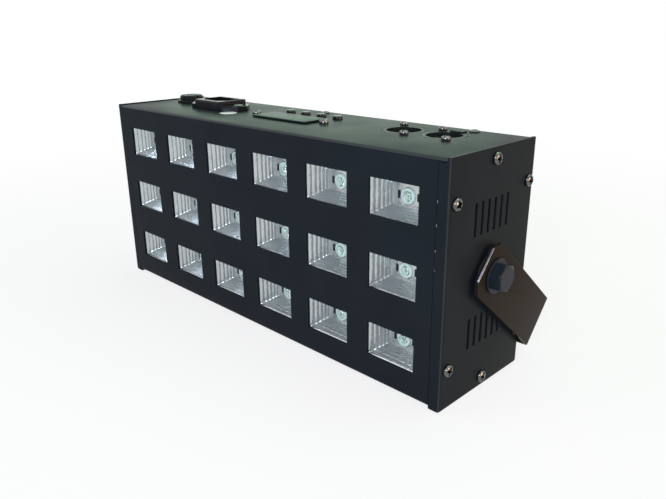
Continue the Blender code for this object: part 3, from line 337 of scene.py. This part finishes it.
def loft(rings, loop=False):
    """Skin over rings that run upwards outside: quads between neighbours, then a fan on each end, or a loop."""
    rings = np.asarray(rings, float)
    count, size, _ = rings.shape
    index = np.arange(count * size).reshape(count, size)
    after = np.roll(index, -1, 0) if loop else index[1:]
    before = index if loop else index[:-1]
    quads = np.stack([before, np.roll(before, -1, 1), np.roll(after, -1, 1), after], -1).reshape(-1, 4)
    points = rings.reshape(-1, 3)
    if loop:
        return points, [quads]
    ends = np.stack([rings[0].mean(0), rings[-1].mean(0)])
    first, last = index[0], index[-1]
    low = np.stack([np.roll(first, -1), first, np.full(size, count * size)], -1)
    high = np.stack([last, np.roll(last, -1), np.full(size, count * size + 1)], -1)
    return np.concatenate([points, ends]), [quads, low, high]


def joined(blocks):
    """Several skins as one block of points and faces."""
    points, faces, offset = [], [], 0
    for block_points, block_faces in blocks:
        points.append(block_points)
        faces += [part + offset for part in block_faces]
        offset += len(block_points)
    return np.concatenate(points), faces


def moved(block, place=(0, 0, 0), axis="Z", turn=0.0):
    """Turns a block about Z by an angle, lays its +Z along the named axis, and moves it to a place."""
    points, faces = block
    lay = {"Z": np.eye(3), "X": np.array([[0, 0, 1], [0, 1, 0], [-1, 0, 0]]),
           "-X": np.array([[0, 0, -1], [0, 1, 0], [1, 0, 0]]),
           "-Y": np.array([[1, 0, 0], [0, 0, -1], [0, 1, 0]])}[axis]
    c, s = math.cos(turn), math.sin(turn)
    spin = np.array([[c, -s, 0], [s, c, 0], [0, 0, 1]])
    return points @ (lay @ spin).T + np.array(place), faces


def piece(name, block, material, body="housing", replaces=(), sharp=35, inlay=None):
    """Puts a block of points and faces into a mesh that rides on a body.

    An inlay is a second material and, for each face, whether the face has it.
    """
    points, faces = block
    sizes = np.concatenate([np.full(len(part), part.shape[1]) for part in faces])
    corners = np.concatenate([part.reshape(-1) for part in faces]).astype(np.int32)
    mesh = bpy.data.meshes.new(name)
    mesh.vertices.add(len(points))
    mesh.vertices.foreach_set("co", np.ascontiguousarray(points, np.float32).reshape(-1))
    mesh.loops.add(len(corners))
    mesh.loops.foreach_set("vertex_index", corners)
    mesh.polygons.add(len(sizes))
    starts = np.concatenate([[0], np.cumsum(sizes)[:-1]]).astype(np.int32)
    mesh.polygons.foreach_set("loop_start", starts)
    mesh.materials.append(material)
    if inlay:
        mesh.materials.append(inlay[0])
        mesh.polygons.foreach_set("material_index", inlay[1].astype(np.int32))
    mesh.update(calc_edges=True)
    mesh.validate()
    mesh.shade_smooth()
    mesh.set_sharp_from_angle(angle=math.radians(sharp))
    made = bpy.data.objects.new(name, mesh)
    bpy.context.scene.collection.objects.link(made)
    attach(made, body)
    if replaces:
        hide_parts(*replaces)
    return made


# Sheet metal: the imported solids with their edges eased

SHEET_EASE = 0.22 * MM
STRAP_EASE = 0.3 * MM
EDGE_HIGHLIGHT_WIDTH = 0.7 * MM
SAME_PLACE = 0.05 * MM


def on_bend(normal):
    """True where a face leans well away from every axis, as the middle of a fold does."""
    return max(abs(value) for value in normal) < 0.95


def eased_copy(node, name, width, materials, body, highlight_toward=None):
    """A merged copy of a node whose sharp edges are rounded, as thick paint rounds them.

    The second material is a lighter copy of the coat, a painted highlight on the housing's folds and on the eased
    edges. The third is bright steel, a painted highlight along the outer edges that lie furthest in the given
    direction.
    """
    work = bmesh.new()
    work.from_mesh(NODES[node].data)
    bmesh.ops.remove_doubles(work, verts=work.verts, dist=0.002 * MM)
    bmesh.ops.dissolve_limit(work, angle_limit=math.radians(1), verts=work.verts, edges=work.edges)
    for face in work.faces:
        # Faces in the middle of a fold take the lighter copy of the coat: a painted highlight
        face.material_index = int(body == "housing" and on_bend(face.normal))
    # Along the arm's end edges a bevel in bright steel: a painted highlight
    if highlight_toward:
        outer = max(abs(v.co.x) for v in work.verts)
        tip = max(v.co.dot(highlight_toward) for v in work.verts)
        edges = [edge for edge in work.edges
                 if all(outer - abs(v.co.x) < SAME_PLACE and tip - v.co.dot(highlight_toward) < SAME_PLACE
                        for v in edge.verts)]
        bmesh.ops.bevel(work, geom=edges, offset=EDGE_HIGHLIGHT_WIDTH, segments=4, profile=0.5, affect="EDGES",
                        material=2)
    mesh = bpy.data.meshes.new(name)
    work.to_mesh(mesh)
    work.free()
    for material in materials:
        mesh.materials.append(material)
    made = bpy.data.objects.new(name, mesh)
    bpy.context.scene.collection.objects.link(made)
    step = made.modifiers.new("eased", "BEVEL")
    step.width = width
    step.segments = 2
    step.limit_method = "ANGLE"
    step.angle_limit = math.radians(50)
    step.harden_normals = False
    # Bevel faces take the lighter copy too: a painted highlight along every eased edge
    step.material = 1
    mesh.shade_smooth()
    mesh.set_sharp_from_angle(angle=math.radians(40))
    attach(made, body)
    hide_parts(node)
    return made


def sheet_metal():
    """The housing's sheets and the bracket, whose arms point up and to the front at the bracket's tilt."""
    for node in ("front_shell", "back_cover", "left_end_panel", "right_end_panel"):
        eased_copy(node, node + "_sheet", SHEET_EASE, (COAT, BEND_HIGHLIGHT_COAT), "housing")
    arm_end = Vector((0, -math.cos(BRACKET_TILT), math.sin(BRACKET_TILT)))
    # The strap in the warmer black, a painted warm reflection, with a painted highlight of bright steel along its arm
    # ends
    eased_copy("bracket", "bracket_strap", STRAP_EASE, (BRACKET_COAT_WARM_REFLECTION, BEND_HIGHLIGHT_COAT, EDGE_HIGHLIGHT_STEEL), "bracket",
               highlight_toward=arm_end)


# Reflectors: a sheet with 18 ribbed horns, each with a flat floor around its emitter

RIBS = 5
RIB_RATIO = 0.88
RIB_BULGE = 0.26 * MM
ROWS_PER_RIB = 7
FUNNEL_DEPTH = 10.6 * MM
MOUTH = (15.65 * MM, 9.85 * MM)
MOUTH_CORNER = 0.5 * MM
MOUTH_LAP = 0.2 * MM
THROAT = (10.23 * MM, 5.69 * MM)
THROAT_CORNER = 0.9 * MM
CORNER_POINTS = 6
FILM_WALL = 0.8 * MM
FLANGE_SET_BACK = 0.05 * MM
FLOOR_LAP = 0.45 * MM
FLOOR_POINTS = 96
EMITTER_HOLE = 4.3 * MM
LEAD_WINDOW = (0.8 * MM, 2.0 * MM)
LEAD_WINDOW_CORNER = 0.3 * MM
LEAD_WINDOW_X = 5.9 * MM
LEAD_RISE = (-0.3 * MM, 0.06 * MM)


def funnel_profile():
    """Depth and draw-in of the wall as shares, and its bulge.

    The ribs' lengths fall off as a geometric series, and each rib bulges as a parabola.
    """
    lengths = RIB_RATIO ** np.arange(RIBS)
    ends = np.concatenate([[0], np.cumsum(lengths) / lengths.sum()])
    within = np.linspace(0, 1, ROWS_PER_RIB, endpoint=False)
    share = (ends[:-1, None] + (ends[1:] - ends[:-1])[:, None] * within).reshape(-1)
    bulge = np.broadcast_to(1 - (2 * within - 1) ** 2, (RIBS, ROWS_PER_RIB)) * lengths[:, None]
    return np.append(share, 1.0), np.append(bulge.reshape(-1), 0.0)


def funnel(centre_x, centre_z):
    """Rectangular horn: a closed loop of rings, up the smooth outer wall and down the ribbed inner wall."""
    share, bulge = funnel_profile()
    half = [MOUTH[i] + (THROAT[i] - MOUTH[i]) * share - RIB_BULGE * bulge for i in (0, 1)]
    corner = MOUTH_CORNER + (THROAT_CORNER - MOUTH_CORNER) * share
    inner = [corner_ring(a, b, r, CORNER_POINTS, -s * FUNNEL_DEPTH)
             for a, b, r, s in zip(half[0], half[1], corner, share)]
    outer = [corner_ring(MOUTH[0] + (THROAT[0] - MOUTH[0]) * s + FILM_WALL,
                         MOUTH[1] + (THROAT[1] - MOUTH[1]) * s + FILM_WALL,
                         THROAT_CORNER, CORNER_POINTS, -s * FUNNEL_DEPTH)
             for s in np.linspace(1, 0, 4)]
    return moved(loft(np.array(outer + inner), loop=True), (centre_x, TRAY_FRONT, centre_z), "-Y")


def horn_floor(centre_x, centre_z):
    """Flat floor with a round hole: each ray from the centre meets the circle, then the rectangle's edge."""
    turn = np.linspace(0, 2 * math.pi, FLOOR_POINTS, endpoint=False)
    ray = np.stack([np.cos(turn), np.sin(turn)], -1)
    half = np.array(THROAT) + FLOOR_LAP
    edge = ray * np.min(half / np.maximum(np.abs(ray), 1e-9), -1)[:, None]
    hole = ray * EMITTER_HOLE
    rings = [np.column_stack([ring, np.full(len(turn), -FUNNEL_DEPTH + z)])
             for ring, z in ((edge, -FILM_WALL), (edge, 0), (hole, 0), (hole, -FILM_WALL))]
    return moved(loft(np.array(rings), loop=True), (centre_x, TRAY_FRONT, centre_z), "-Y")


def lead_windows(centre_x, centre_z):
    """Two dark pads in the floor's windows, left and right of the emitter: low rounded blocks."""
    blocks = []
    for side in (-1, 1):
        pad = corner_ring(*LEAD_WINDOW, LEAD_WINDOW_CORNER, 4)
        rings = np.array([pad + [side * LEAD_WINDOW_X, 0, -FUNNEL_DEPTH + z] for z in LEAD_RISE])
        blocks.append(moved(loft(rings), (centre_x, TRAY_FRONT, centre_z), "-Y"))
    return joined(blocks)


def flange():
    """Flat sheet around the horns: a grid of lines at the mouths' edges, without the mouths' own cells.

    Each kept cell has a front and a back, and a wall on each side where the next cell isn't kept.
    """
    low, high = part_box("reflector_tray")
    centres_x = sorted({round(middle("emitter_1_%d" % c).x, 6) for c in range(1, COLUMNS + 1)})
    centres_z = sorted({round(middle("emitter_%d_1" % r).z, 6) for r in range(1, ROWS + 1)})
    x = [low.x] + [c + s * (MOUTH[0] + MOUTH_LAP) for c in centres_x for s in (-1, 1)] + [high.x]
    z = [low.z] + [c + s * (MOUTH[1] + MOUTH_LAP) for c in centres_z for s in (-1, 1)] + [high.z]
    kept = np.ones((len(z) - 1, len(x) - 1), bool)
    kept[1::2, 1::2] = False
    column, row = np.meshgrid(x, z)
    sheet = np.stack([column, np.full_like(column, TRAY_FRONT + FLANGE_SET_BACK), row], -1).reshape(-1, 3)
    index = np.arange(len(sheet)).reshape(len(z), len(x))
    j, i = np.nonzero(kept)
    front = np.stack([index[j, i], index[j, i + 1], index[j + 1, i + 1], index[j + 1, i]], -1)
    walls = []
    for side, (above, beside) in enumerate(((-1, 0), (0, 1), (1, 0), (0, -1))):
        edge = ~np.pad(kept, 1)[j + 1 + above, i + 1 + beside]
        a, b = front[edge, side], front[edge, (side + 1) % 4]
        walls.append(np.stack([b, a, a + len(sheet), b + len(sheet)], -1))
    return np.concatenate([sheet, sheet + [0, FILM_WALL, 0]]), [front, front[:, ::-1] + len(sheet), *walls]


def reflectors():
    centres = [middle("emitter_%d_%d" % (r, c)) for r in range(1, ROWS + 1) for c in range(1, COLUMNS + 1)]
    blocks = [shape(centre.x, centre.z) for centre in centres for shape in (funnel, horn_floor)]
    piece("reflector_horns", joined(blocks + [flange()]), FILM, replaces=["reflector_tray"],
          sharp=50)
    piece("emitter_lead_windows", joined([lead_windows(centre.x, centre.z) for centre in centres]), LEAD_METAL)


# Emitters

EMITTER_RIM = 4.2 * MM
EMITTER_RING = 0.12 * MM
CUP_DEPTH = 0.9 * MM
DOME_INSET = 1.3 * MM
DOME_RISE = 1.1 * MM
DIE_HALF = 0.5 * MM
DIE_RISE = 0.1 * MM


def emitter_body(radius):
    """White ring with a sunk cup: up the outside, over a rounded rim and down into the cup."""
    rim = EMITTER_RIM
    profile = [(radius, 0), (radius, rim - 0.5 * MM), (radius - 0.15 * MM, rim - 0.15 * MM),
               (radius - 0.5 * MM, rim), (radius - 1.2 * MM, rim), (radius - 1.4 * MM, rim - 0.3 * MM),
               (radius - 2.3 * MM, rim - CUP_DEPTH), (0.3 * MM, rim - CUP_DEPTH)]
    return loft(round_rings(profile, 40))


def emitter_dome(radius):
    """Clear dome: a quarter ellipse over the cup, drawn in underneath to just over the cup's floor."""
    base = radius - DOME_INSET
    turn = np.linspace(0, math.pi / 2 * 0.97, 9)
    arc = [(base * math.cos(t), EMITTER_RIM + DOME_RISE * math.sin(t)) for t in turn]
    floor = EMITTER_RIM - CUP_DEPTH + 0.12 * MM
    profile = [(0.3 * MM, floor), (base - 1.2 * MM, floor), (base, EMITTER_RIM - 0.25 * MM)] + arc
    return loft(round_rings(profile, 32))


def emitter_die():
    """Square chip on the cup's floor: two rounded squares."""
    square = corner_ring(DIE_HALF, DIE_HALF, 0.05 * MM, 3)
    floor = EMITTER_RIM - CUP_DEPTH
    return loft(np.array([square + [0, 0, floor], square + [0, 0, floor + DIE_RISE]]))


def emitters():
    for r in range(1, ROWS + 1):
        for c in range(1, COLUMNS + 1):
            node = "emitter_%d_%d" % (r, c)
            low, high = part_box(node)
            place = Vector((middle(node).x, high.y, middle(node).z))
            radius = (high.x - low.x) / 2 + EMITTER_RING
            piece("%s_body" % node, moved(emitter_body(radius), place, "-Y"), EMITTER_WHITE, replaces=[node])
            piece("%s_dome" % node, moved(emitter_dome(radius), place, "-Y"), EPOXY)
            piece("%s_die" % node, moved(emitter_die(), place, "-Y"), DIE)


# Screws: shares of the head's radius and rise

HEAD_POINTS = 64
HEAD_WALL = 0.35
CROWN_POWER = 3.2
CROSS_ARM = 0.66
CROSS_HALF_WIDTH = 0.17
CROSS_SOFT = 0.06
CROSS_DEPTH = 0.75
UPRIGHT_SCREW_RISE = 1.45
SCREW_SHANK = 1.6 * MM
SCREW_LENGTH = 6 * MM


def pan_head(radius, rise, shank, length):
    """Pan head with a cross recess, and for each face whether it is inside the cross.

    The crown's height falls off as the root of one minus a power of the share of the radius, and each point is
    lowered where the cross lies.
    """
    share = np.concatenate([np.linspace(0.04, 0.75, 16), np.linspace(0.8, 1.0, 7)])
    turn = np.linspace(0, 2 * math.pi, HEAD_POINTS, endpoint=False)
    r = share[:, None] * radius
    x, y = r * np.cos(turn), r * np.sin(turn)
    wall = HEAD_WALL * rise
    crown = wall + (rise - wall) * (1 - share ** CROWN_POWER) ** 0.5
    arm, half_width, soft = CROSS_ARM * radius, CROSS_HALF_WIDTH * radius, CROSS_SOFT * radius

    def inside(along, across):
        return (np.clip((arm - np.abs(along)) / soft, 0, 1)
                * np.clip((half_width - np.abs(across)) / soft + 1, 0, 1))

    cross = np.maximum(inside(x, y), inside(y, x))
    top = np.stack([x, y, crown[:, None] - cross * CROSS_DEPTH * rise], -1)[::-1]
    side = round_rings([(shank, -length), (shank, 0), (radius * 0.97, 0)], HEAD_POINTS)
    block = loft(np.concatenate([side, top]))
    # Faces down in the cross get the darker copy of the nickel: painted shade in the recess
    sunk = cross[::-1] > 0.6
    quads = sunk[:-1] & sunk[1:] & np.roll(sunk[:-1], -1, 1) & np.roll(sunk[1:], -1, 1)
    dark = np.concatenate([np.zeros(len(side) * HEAD_POINTS, bool), quads.reshape(-1),
                           np.zeros(HEAD_POINTS, bool), np.ones(HEAD_POINTS, bool)])
    return block, dark


def screws():
    """A detailed screw for each plain one: the end panels' along X, the others along Z, each turned its own way."""
    for node in sorted(NODES):
        if "_screw" not in node:
            continue
        low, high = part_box(node)
        centre = middle(node)
        radius = (high.y - low.y) / 2
        lies_along_x = high.x - low.x > high.y - low.y + 0.5 * MM
        if lies_along_x:
            right = centre.x > 0
            seat = Vector((PANEL_X if right else -PANEL_X, centre.y, centre.z))
            axis, rise = ("X", high.x - PANEL_X) if right else ("-X", -PANEL_X - low.x)
        else:
            seat = Vector((centre.x, centre.y, TOP))
            axis, rise = "Z", UPRIGHT_SCREW_RISE * (high.z - TOP)
        turn = 0.4 + 1.7 * (sum(ord(letter) for letter in node) % 9)
        block, dark = pan_head(radius, rise, SCREW_SHANK, SCREW_LENGTH)
        piece(node + "_detail", moved(block, seat, axis, turn), SCREW_STEEL, replaces=[node],
              sharp=28, inlay=(RECESS_SHADE_STEEL, dark))


# Pivot bolts

BOLT_RADIUS = 4 * MM
HEX_HEAD = 13 * MM
HEX_NUT = 12 * MM
NUT_HEIGHT = 5 * MM
NUT_SEAT = 1.8 * MM
HEAD_HEIGHT = 5.3 * MM
WASHER = 1 * MM
HEX_EASE = 0.45 * MM
CHAMFER_CIRCLE = 0.93
CHAMFER_SLOPE = math.radians(28)


def hex_rings(across, low, high, count=72):
    """Hexagon head: rings whose radius is the flat's distance over the cosine, cut by a cone at the corners.

    The cone meets the flats in a small curve, a quadratic blend between the two lines.
    """
    turn = np.linspace(0, 2 * math.pi, count, endpoint=False)
    wall = across / 2 / np.cos((turn + math.pi / 6) % (math.pi / 3) - math.pi / 6)
    flat = across / 2 * CHAMFER_CIRCLE
    rings = [(np.full(count, flat * share), np.full(count, high)) for share in (0.05, 0.6, 1.0)]
    shoulder = high - (wall - flat) * math.tan(CHAMFER_SLOPE)
    for t in np.linspace(0, 1, 6):
        rings.append((wall - (1 - t) ** 2 * HEX_EASE * math.cos(CHAMFER_SLOPE),
                      shoulder + HEX_EASE * ((1 - t) ** 2 * math.sin(CHAMFER_SLOPE) - t ** 2)))
    rings.append((wall, np.full(count, low)))
    rings.append((wall * 0.5, np.full(count, low)))
    return np.array([np.stack([r * np.cos(turn), r * np.sin(turn), z], -1) for r, z in rings[::-1]])


def washer_rings(radius, low, high):
    """Washer: a flat disc turned from a profile with a small chamfer on both rims."""
    edge = 0.25 * MM
    profile = [(radius * 0.3, low), (radius - edge, low), (radius, low + edge), (radius, high - edge),
               (radius - edge, high), (radius * 0.3, high)]
    return round_rings(profile, 48)


def bolts():
    """Each bolt from its tip outwards: shank, nut inside the panel, washer and head, turned with the bracket."""
    for node, axis in (("left_pivot_bolt", "-X"), ("right_pivot_bolt", "X")):
        low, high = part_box(node)
        tip, end = (low.x, high.x) if axis == "X" else (high.x, low.x)
        centre = middle(node)
        length = abs(end - tip)
        head = length - HEAD_HEIGHT
        nut = abs(PANEL_X - NUT_SEAT - NUT_HEIGHT - abs(tip))
        shank = [(BOLT_RADIUS - 0.4 * MM, 0), (BOLT_RADIUS, 0.5 * MM), (BOLT_RADIUS, head - 0.5 * MM)]
        blocks = [loft(hex_rings(HEX_HEAD, head - 0.05 * MM, length)),
                  loft(washer_rings((high.y - low.y) / 2, head - WASHER, head)),
                  loft(round_rings(shank, 32)),
                  loft(hex_rings(HEX_NUT, nut, nut + NUT_HEIGHT))]
        block = moved(joined(blocks), (tip, centre.y, centre.z), axis, BRACKET_TILT)
        piece(node + "_detail", block, BOLT_STEEL, replaces=[node], sharp=25)


# Top: display, buttons, label, and the sockets' metal

BUTTON_RADIUS = 3 * MM
COLLAR_GAP = 0.3 * MM
LABEL_RADIUS = 5.65 * MM
LABEL_PLACE = (-48.1 * MM, FRONT + 26.5 * MM, TOP)

SOCKET_SCREW = (9.5 * MM, 12 * MM)
SOCKET_FLOOR = 15 * MM
PIN_CIRCLE = 4.6 * MM
PIN_RADIUS = 1.25 * MM
PIN_LENGTH = 10.2 * MM

INLET_SCREW_X = 20 * MM
INLET_EAR = 3 * MM
INLET_FLOOR = 17 * MM
BLADE = (1.05 * MM, 2.05 * MM)
BLADE_LENGTH = 12.1 * MM
BLADE_PITCH = 7 * MM
BLADE_OFFSET = 2 * MM


def display():
    """Display window: rounded rectangles one over another, drawn in along a small curve at the top edge."""
    low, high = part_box("display_window")
    centre = middle("display_window")
    half_x, half_y = (high.x - low.x) / 2, (high.y - low.y) / 2
    rise = high.z - low.z
    rings = [corner_ring(half_x - d * MM, half_y - d * MM, 1.0 * MM, 6, low.z + z * rise)
             for d, z in ((0.1, 0), (0, 0.1), (0, 0.7), (0.15, 0.93), (0.4, 1.0))]
    block = moved(loft(np.array(rings)), (centre.x, centre.y, 0))
    piece("display_lens", block, ACRYLIC, replaces=["display_window"])


def buttons():
    """Each button turned from a profile: collar under the sheet, straight side, round edge and dished face."""
    radius = BUTTON_RADIUS
    shoulder = TOP - SHEET - COLLAR_GAP
    for index in range(1, 5):
        node = "button_%d" % index
        low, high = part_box(node)
        centre = middle(node)
        collar = (high.x - low.x) / 2
        profile = [(collar, low.z), (collar, shoulder), (radius, shoulder), (radius, high.z - 0.8 * MM),
                   (radius - 0.1 * MM, high.z - 0.35 * MM), (radius - 0.4 * MM, high.z - 0.08 * MM),
                   (radius - 0.8 * MM, high.z), (radius * 0.5, high.z - 0.1 * MM),
                   (0.2 * MM, high.z - 0.14 * MM)]
        block = moved(loft(round_rings(profile, 40)), (centre.x, centre.y, 0))
        piece(node + "_cap", block, GLOSS_BLACK, node, [node])


def label():
    """Blank round label on the top sheet, ahead of the mains inlet: a thin turned disc with a soft rim."""
    radius = LABEL_RADIUS
    profile = [(radius, 0.02 * MM), (radius, 0.12 * MM), (radius - 0.1 * MM, 0.16 * MM),
               (0.3 * MM, 0.16 * MM)]
    piece("blank_label", moved(loft(round_rings(profile, 64)), LABEL_PLACE), VINYL)


def socket_screws():
    """Cross heads over the plain screws of the two panel sockets and of the mains inlet."""
    heads, dark = [], []
    for node in ("dmx_in", "dmx_out"):
        centre = middle(node)
        for side in (1, -1):
            block, faces = pan_head(2.4 * MM, 1.9 * MM, 1.5 * MM, 0.2 * MM)
            place = (centre.x + side * SOCKET_SCREW[0], centre.y - side * SOCKET_SCREW[1], TOP + 0.3 * MM)
            heads.append(moved(block, place, "Z", 0.5 + side))
            dark.append(faces)
    centre = middle("power_inlet")
    for side in (-1, 1):
        block, faces = pan_head(3.05 * MM, 0.85 * MM, 1.5 * MM, 0.3 * MM)
        heads.append(moved(block, (centre.x + side * INLET_SCREW_X, centre.y, TOP + INLET_EAR), "Z", 0.3 * side))
        dark.append(faces)
    piece("socket_screws", joined(heads), SCREW_STEEL, sharp=28,
          inlay=(RECESS_SHADE_STEEL, np.concatenate(dark)))


def socket_pins():
    """Three round pins on a circle, each turned from a profile with a rounded tip."""
    centre = middle("dmx_in")
    floor = TOP - SOCKET_FLOOR
    tip = floor + PIN_LENGTH
    profile = [(PIN_RADIUS, floor - 0.5 * MM), (PIN_RADIUS, tip - 0.8 * MM), (PIN_RADIUS - 0.2 * MM, tip - 0.3 * MM),
               (0.6 * MM, tip - 0.05 * MM), (0.1 * MM, tip)]
    pins = []
    for turn in np.radians([90, 210, 330]):
        place = (centre.x + PIN_CIRCLE * math.cos(turn), centre.y + PIN_CIRCLE * math.sin(turn), 0)
        pins.append(moved(loft(round_rings(profile, 20)), place))
    piece("dmx_in_pins", joined(pins), PIN_METAL)


def inlet_blades():
    """Three flat blades, the middle one set forward: rounded rectangles one over another, smaller at the tip."""
    centre = middle("power_inlet")
    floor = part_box("power_inlet")[1].z - INLET_FLOOR
    tip = floor + BLADE_LENGTH
    side = corner_ring(*BLADE, 0.3 * MM, 3)
    end = corner_ring(BLADE[0] - 0.25 * MM, BLADE[1] - 0.35 * MM, 0.3 * MM, 3)
    rings = np.array([side + [0, 0, floor - 0.5 * MM], side + [0, 0, tip - 0.5 * MM], end + [0, 0, tip]])
    blades = [moved(loft(rings), (centre.x + across * BLADE_PITCH,
                                  centre.y + (BLADE_OFFSET if across else -BLADE_OFFSET), 0))
              for across in (-1, 0, 1)]
    piece("inlet_blades", joined(blades), PIN_METAL)


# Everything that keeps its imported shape

def dress_nodes():
    """Materials for the nodes whose shape is right as it is."""
    coats = {"led_board": BOARD_SHADED_WHITE, "heat_sink": EXTRUSION, "power_supply": BOARD_GREEN,
             "control_board": BOARD_GREEN, "dmx_in": SOCKET_BLACK, "dmx_out": SOCKET_BLACK,
             "dmx_out_latch": SOCKET_BLACK, "power_inlet": GLOSS_BLACK, "fuse_holder": SOCKET_BLACK,
             "fuse_cap": SOCKET_BLACK, "left_pivot_spacer": NYLON, "right_pivot_spacer": NYLON}
    for node, coat in coats.items():
        slots = NODES[node].data.materials
        slots.clear()
        slots.append(coat)


# Stage, light and camera

FLOOR_HALF = 6.0

# Name, place, size, watts and colour of each softbox. All face the middle of the housing.
LAMP_AIM = (0, 0, 0.06)
LAMPS = (("key_softbox", (-0.9, -1.1, 1.3), (1.0, 1.0), 6, "#f6f2ff"),
         ("top_softbox", (0.2, 0.6, 1.5), (1.4, 1.0), 12, "#dcffe8"),
         ("right_softbox", (1.3, 0.35, 0.2), (0.8, 0.4), 10, "#ffc69a"),
         ("front_softbox", (0.40, -0.74, 0.38), (0.2, 0.2), 4.5, "#dce8ff"),
         ("back_softbox", (-1.05, 1.05, 0.62), (1.0, 0.5), 1.8, "#b4ffc8"))


def seen_directly(tree):
    """1 for rays from the camera, and for those that metal or glass sends on, and 0 for soft light."""
    path = add_node(tree, "LightPath")
    shiny = add_node(tree, "Math", {0: path.outputs["Is Glossy Ray"], 1: path.outputs["Is Transmission Ray"]},
                     operation="MAXIMUM")
    return add_node(tree, "Math", {0: path.outputs["Is Camera Ray"], 1: shiny.outputs[0]},
                    operation="MAXIMUM").outputs[0]


def stage():
    """Pale floor: mostly plain white where it is seen directly, so that it keeps a soft shadow."""
    pale = bpy.data.materials.new("pale_floor")
    pale.use_nodes = True
    tree = pale.node_tree
    shader = tree.nodes["Principled BSDF"]
    shader.inputs["Base Color"].default_value = linear("#f2f1ef")
    shader.inputs["Roughness"].default_value = 0.9
    where = add_node(tree, "TexCoord").outputs["Object"]
    away = add_node(tree, "VectorMath", {0: where}, operation="LENGTH")
    cover = add_node(tree, "MapRange", {"Value": away.outputs["Value"], "From Min": 0.25, "From Max": 0.7,
                                        "To Min": 0.8, "To Max": 1.0})
    amount = add_node(tree, "Math", {0: seen_directly(tree), 1: cover.outputs["Result"]}, operation="MULTIPLY")
    white = add_node(tree, "Emission", {"Color": (1, 1, 1, 1), "Strength": 1.0})
    mixed = add_node(tree, "MixShader", {0: amount.outputs[0], 1: shader.outputs[0], 2: white.outputs[0]})
    tree.links.new(mixed.outputs[0], tree.nodes["Material Output"].inputs["Surface"])
    mesh = bpy.data.meshes.new("floor")
    corners = [(x * FLOOR_HALF, y * FLOOR_HALF, 0) for x, y in ((-1, -1), (1, -1), (1, 1), (-1, 1))]
    mesh.from_pydata(corners, [], [(0, 1, 2, 3)])
    mesh.materials.append(pale)
    made = bpy.data.objects.new("floor", mesh)
    bpy.context.scene.collection.objects.link(made)


def world():
    """Soft grey room light; white to the camera, in reflections and through clear pieces."""
    made = bpy.data.worlds.new("soft_room")
    bpy.context.scene.world = made
    made.use_nodes = True
    tree = made.node_tree
    light = tree.nodes["Background"]
    light.inputs["Color"].default_value = linear("#eef1f4")
    light.inputs["Strength"].default_value = 0.3
    white = add_node(tree, "Background", {"Color": (1, 1, 1, 1), "Strength": 1.0})
    mixed = add_node(tree, "MixShader", {0: seen_directly(tree), 1: light.outputs[0], 2: white.outputs[0]})
    tree.links.new(mixed.outputs["Shader"], tree.nodes["World Output"].inputs["Surface"])


def lamps():
    for name, place, size, watts, hex_code in LAMPS:
        data = bpy.data.lights.new(name, "AREA")
        data.shape = "RECTANGLE"
        data.size, data.size_y = size
        data.energy = watts
        data.color = linear(hex_code)[:3]
        made = bpy.data.objects.new(name, data)
        made.location = place
        made.rotation_euler = (Vector(LAMP_AIM) - Vector(place)).to_track_quat("-Z", "Y").to_euler()
        bpy.context.scene.collection.objects.link(made)


def camera():
    """Camera fitted to the corners of the photograph's windows: angles in degrees, its place in mm."""
    azimuth, elevation, roll = math.radians(44.85), math.radians(19.46), math.radians(-0.531)
    ahead = -np.array([math.sin(azimuth) * math.cos(elevation), -math.cos(azimuth) * math.cos(elevation),
                       math.sin(elevation)])
    right = np.cross(ahead, [0, 0, 1])
    right /= np.linalg.norm(right)
    up = np.cross(right, ahead)
    right, up = (right * math.cos(roll) + up * math.sin(roll), -right * math.sin(roll) + up * math.cos(roll))
    data = bpy.data.cameras.new("camera")
    data.sensor_width = 36
    data.lens = 35.043
    data.clip_start = 0.01
    made = bpy.data.objects.new("camera", data)
    place = Vector((299.7 * MM, FRONT - 228.1 * MM, MIDDLE_Z + 118.2 * MM))
    turn = Matrix(np.stack([right, up, -ahead], 1).tolist()).to_4x4()
    made.matrix_world = Matrix.Translation(place) @ turn
    bpy.context.scene.collection.objects.link(made)
    bpy.context.scene.camera = made


for step in (camera, stage, world, lamps, sheet_metal, reflectors, emitters, screws, bolts, display, buttons,
             label, socket_screws, socket_pins, inlet_blades, dress_nodes):
    step()
bpy.context.scene.view_settings.view_transform = "Standard"
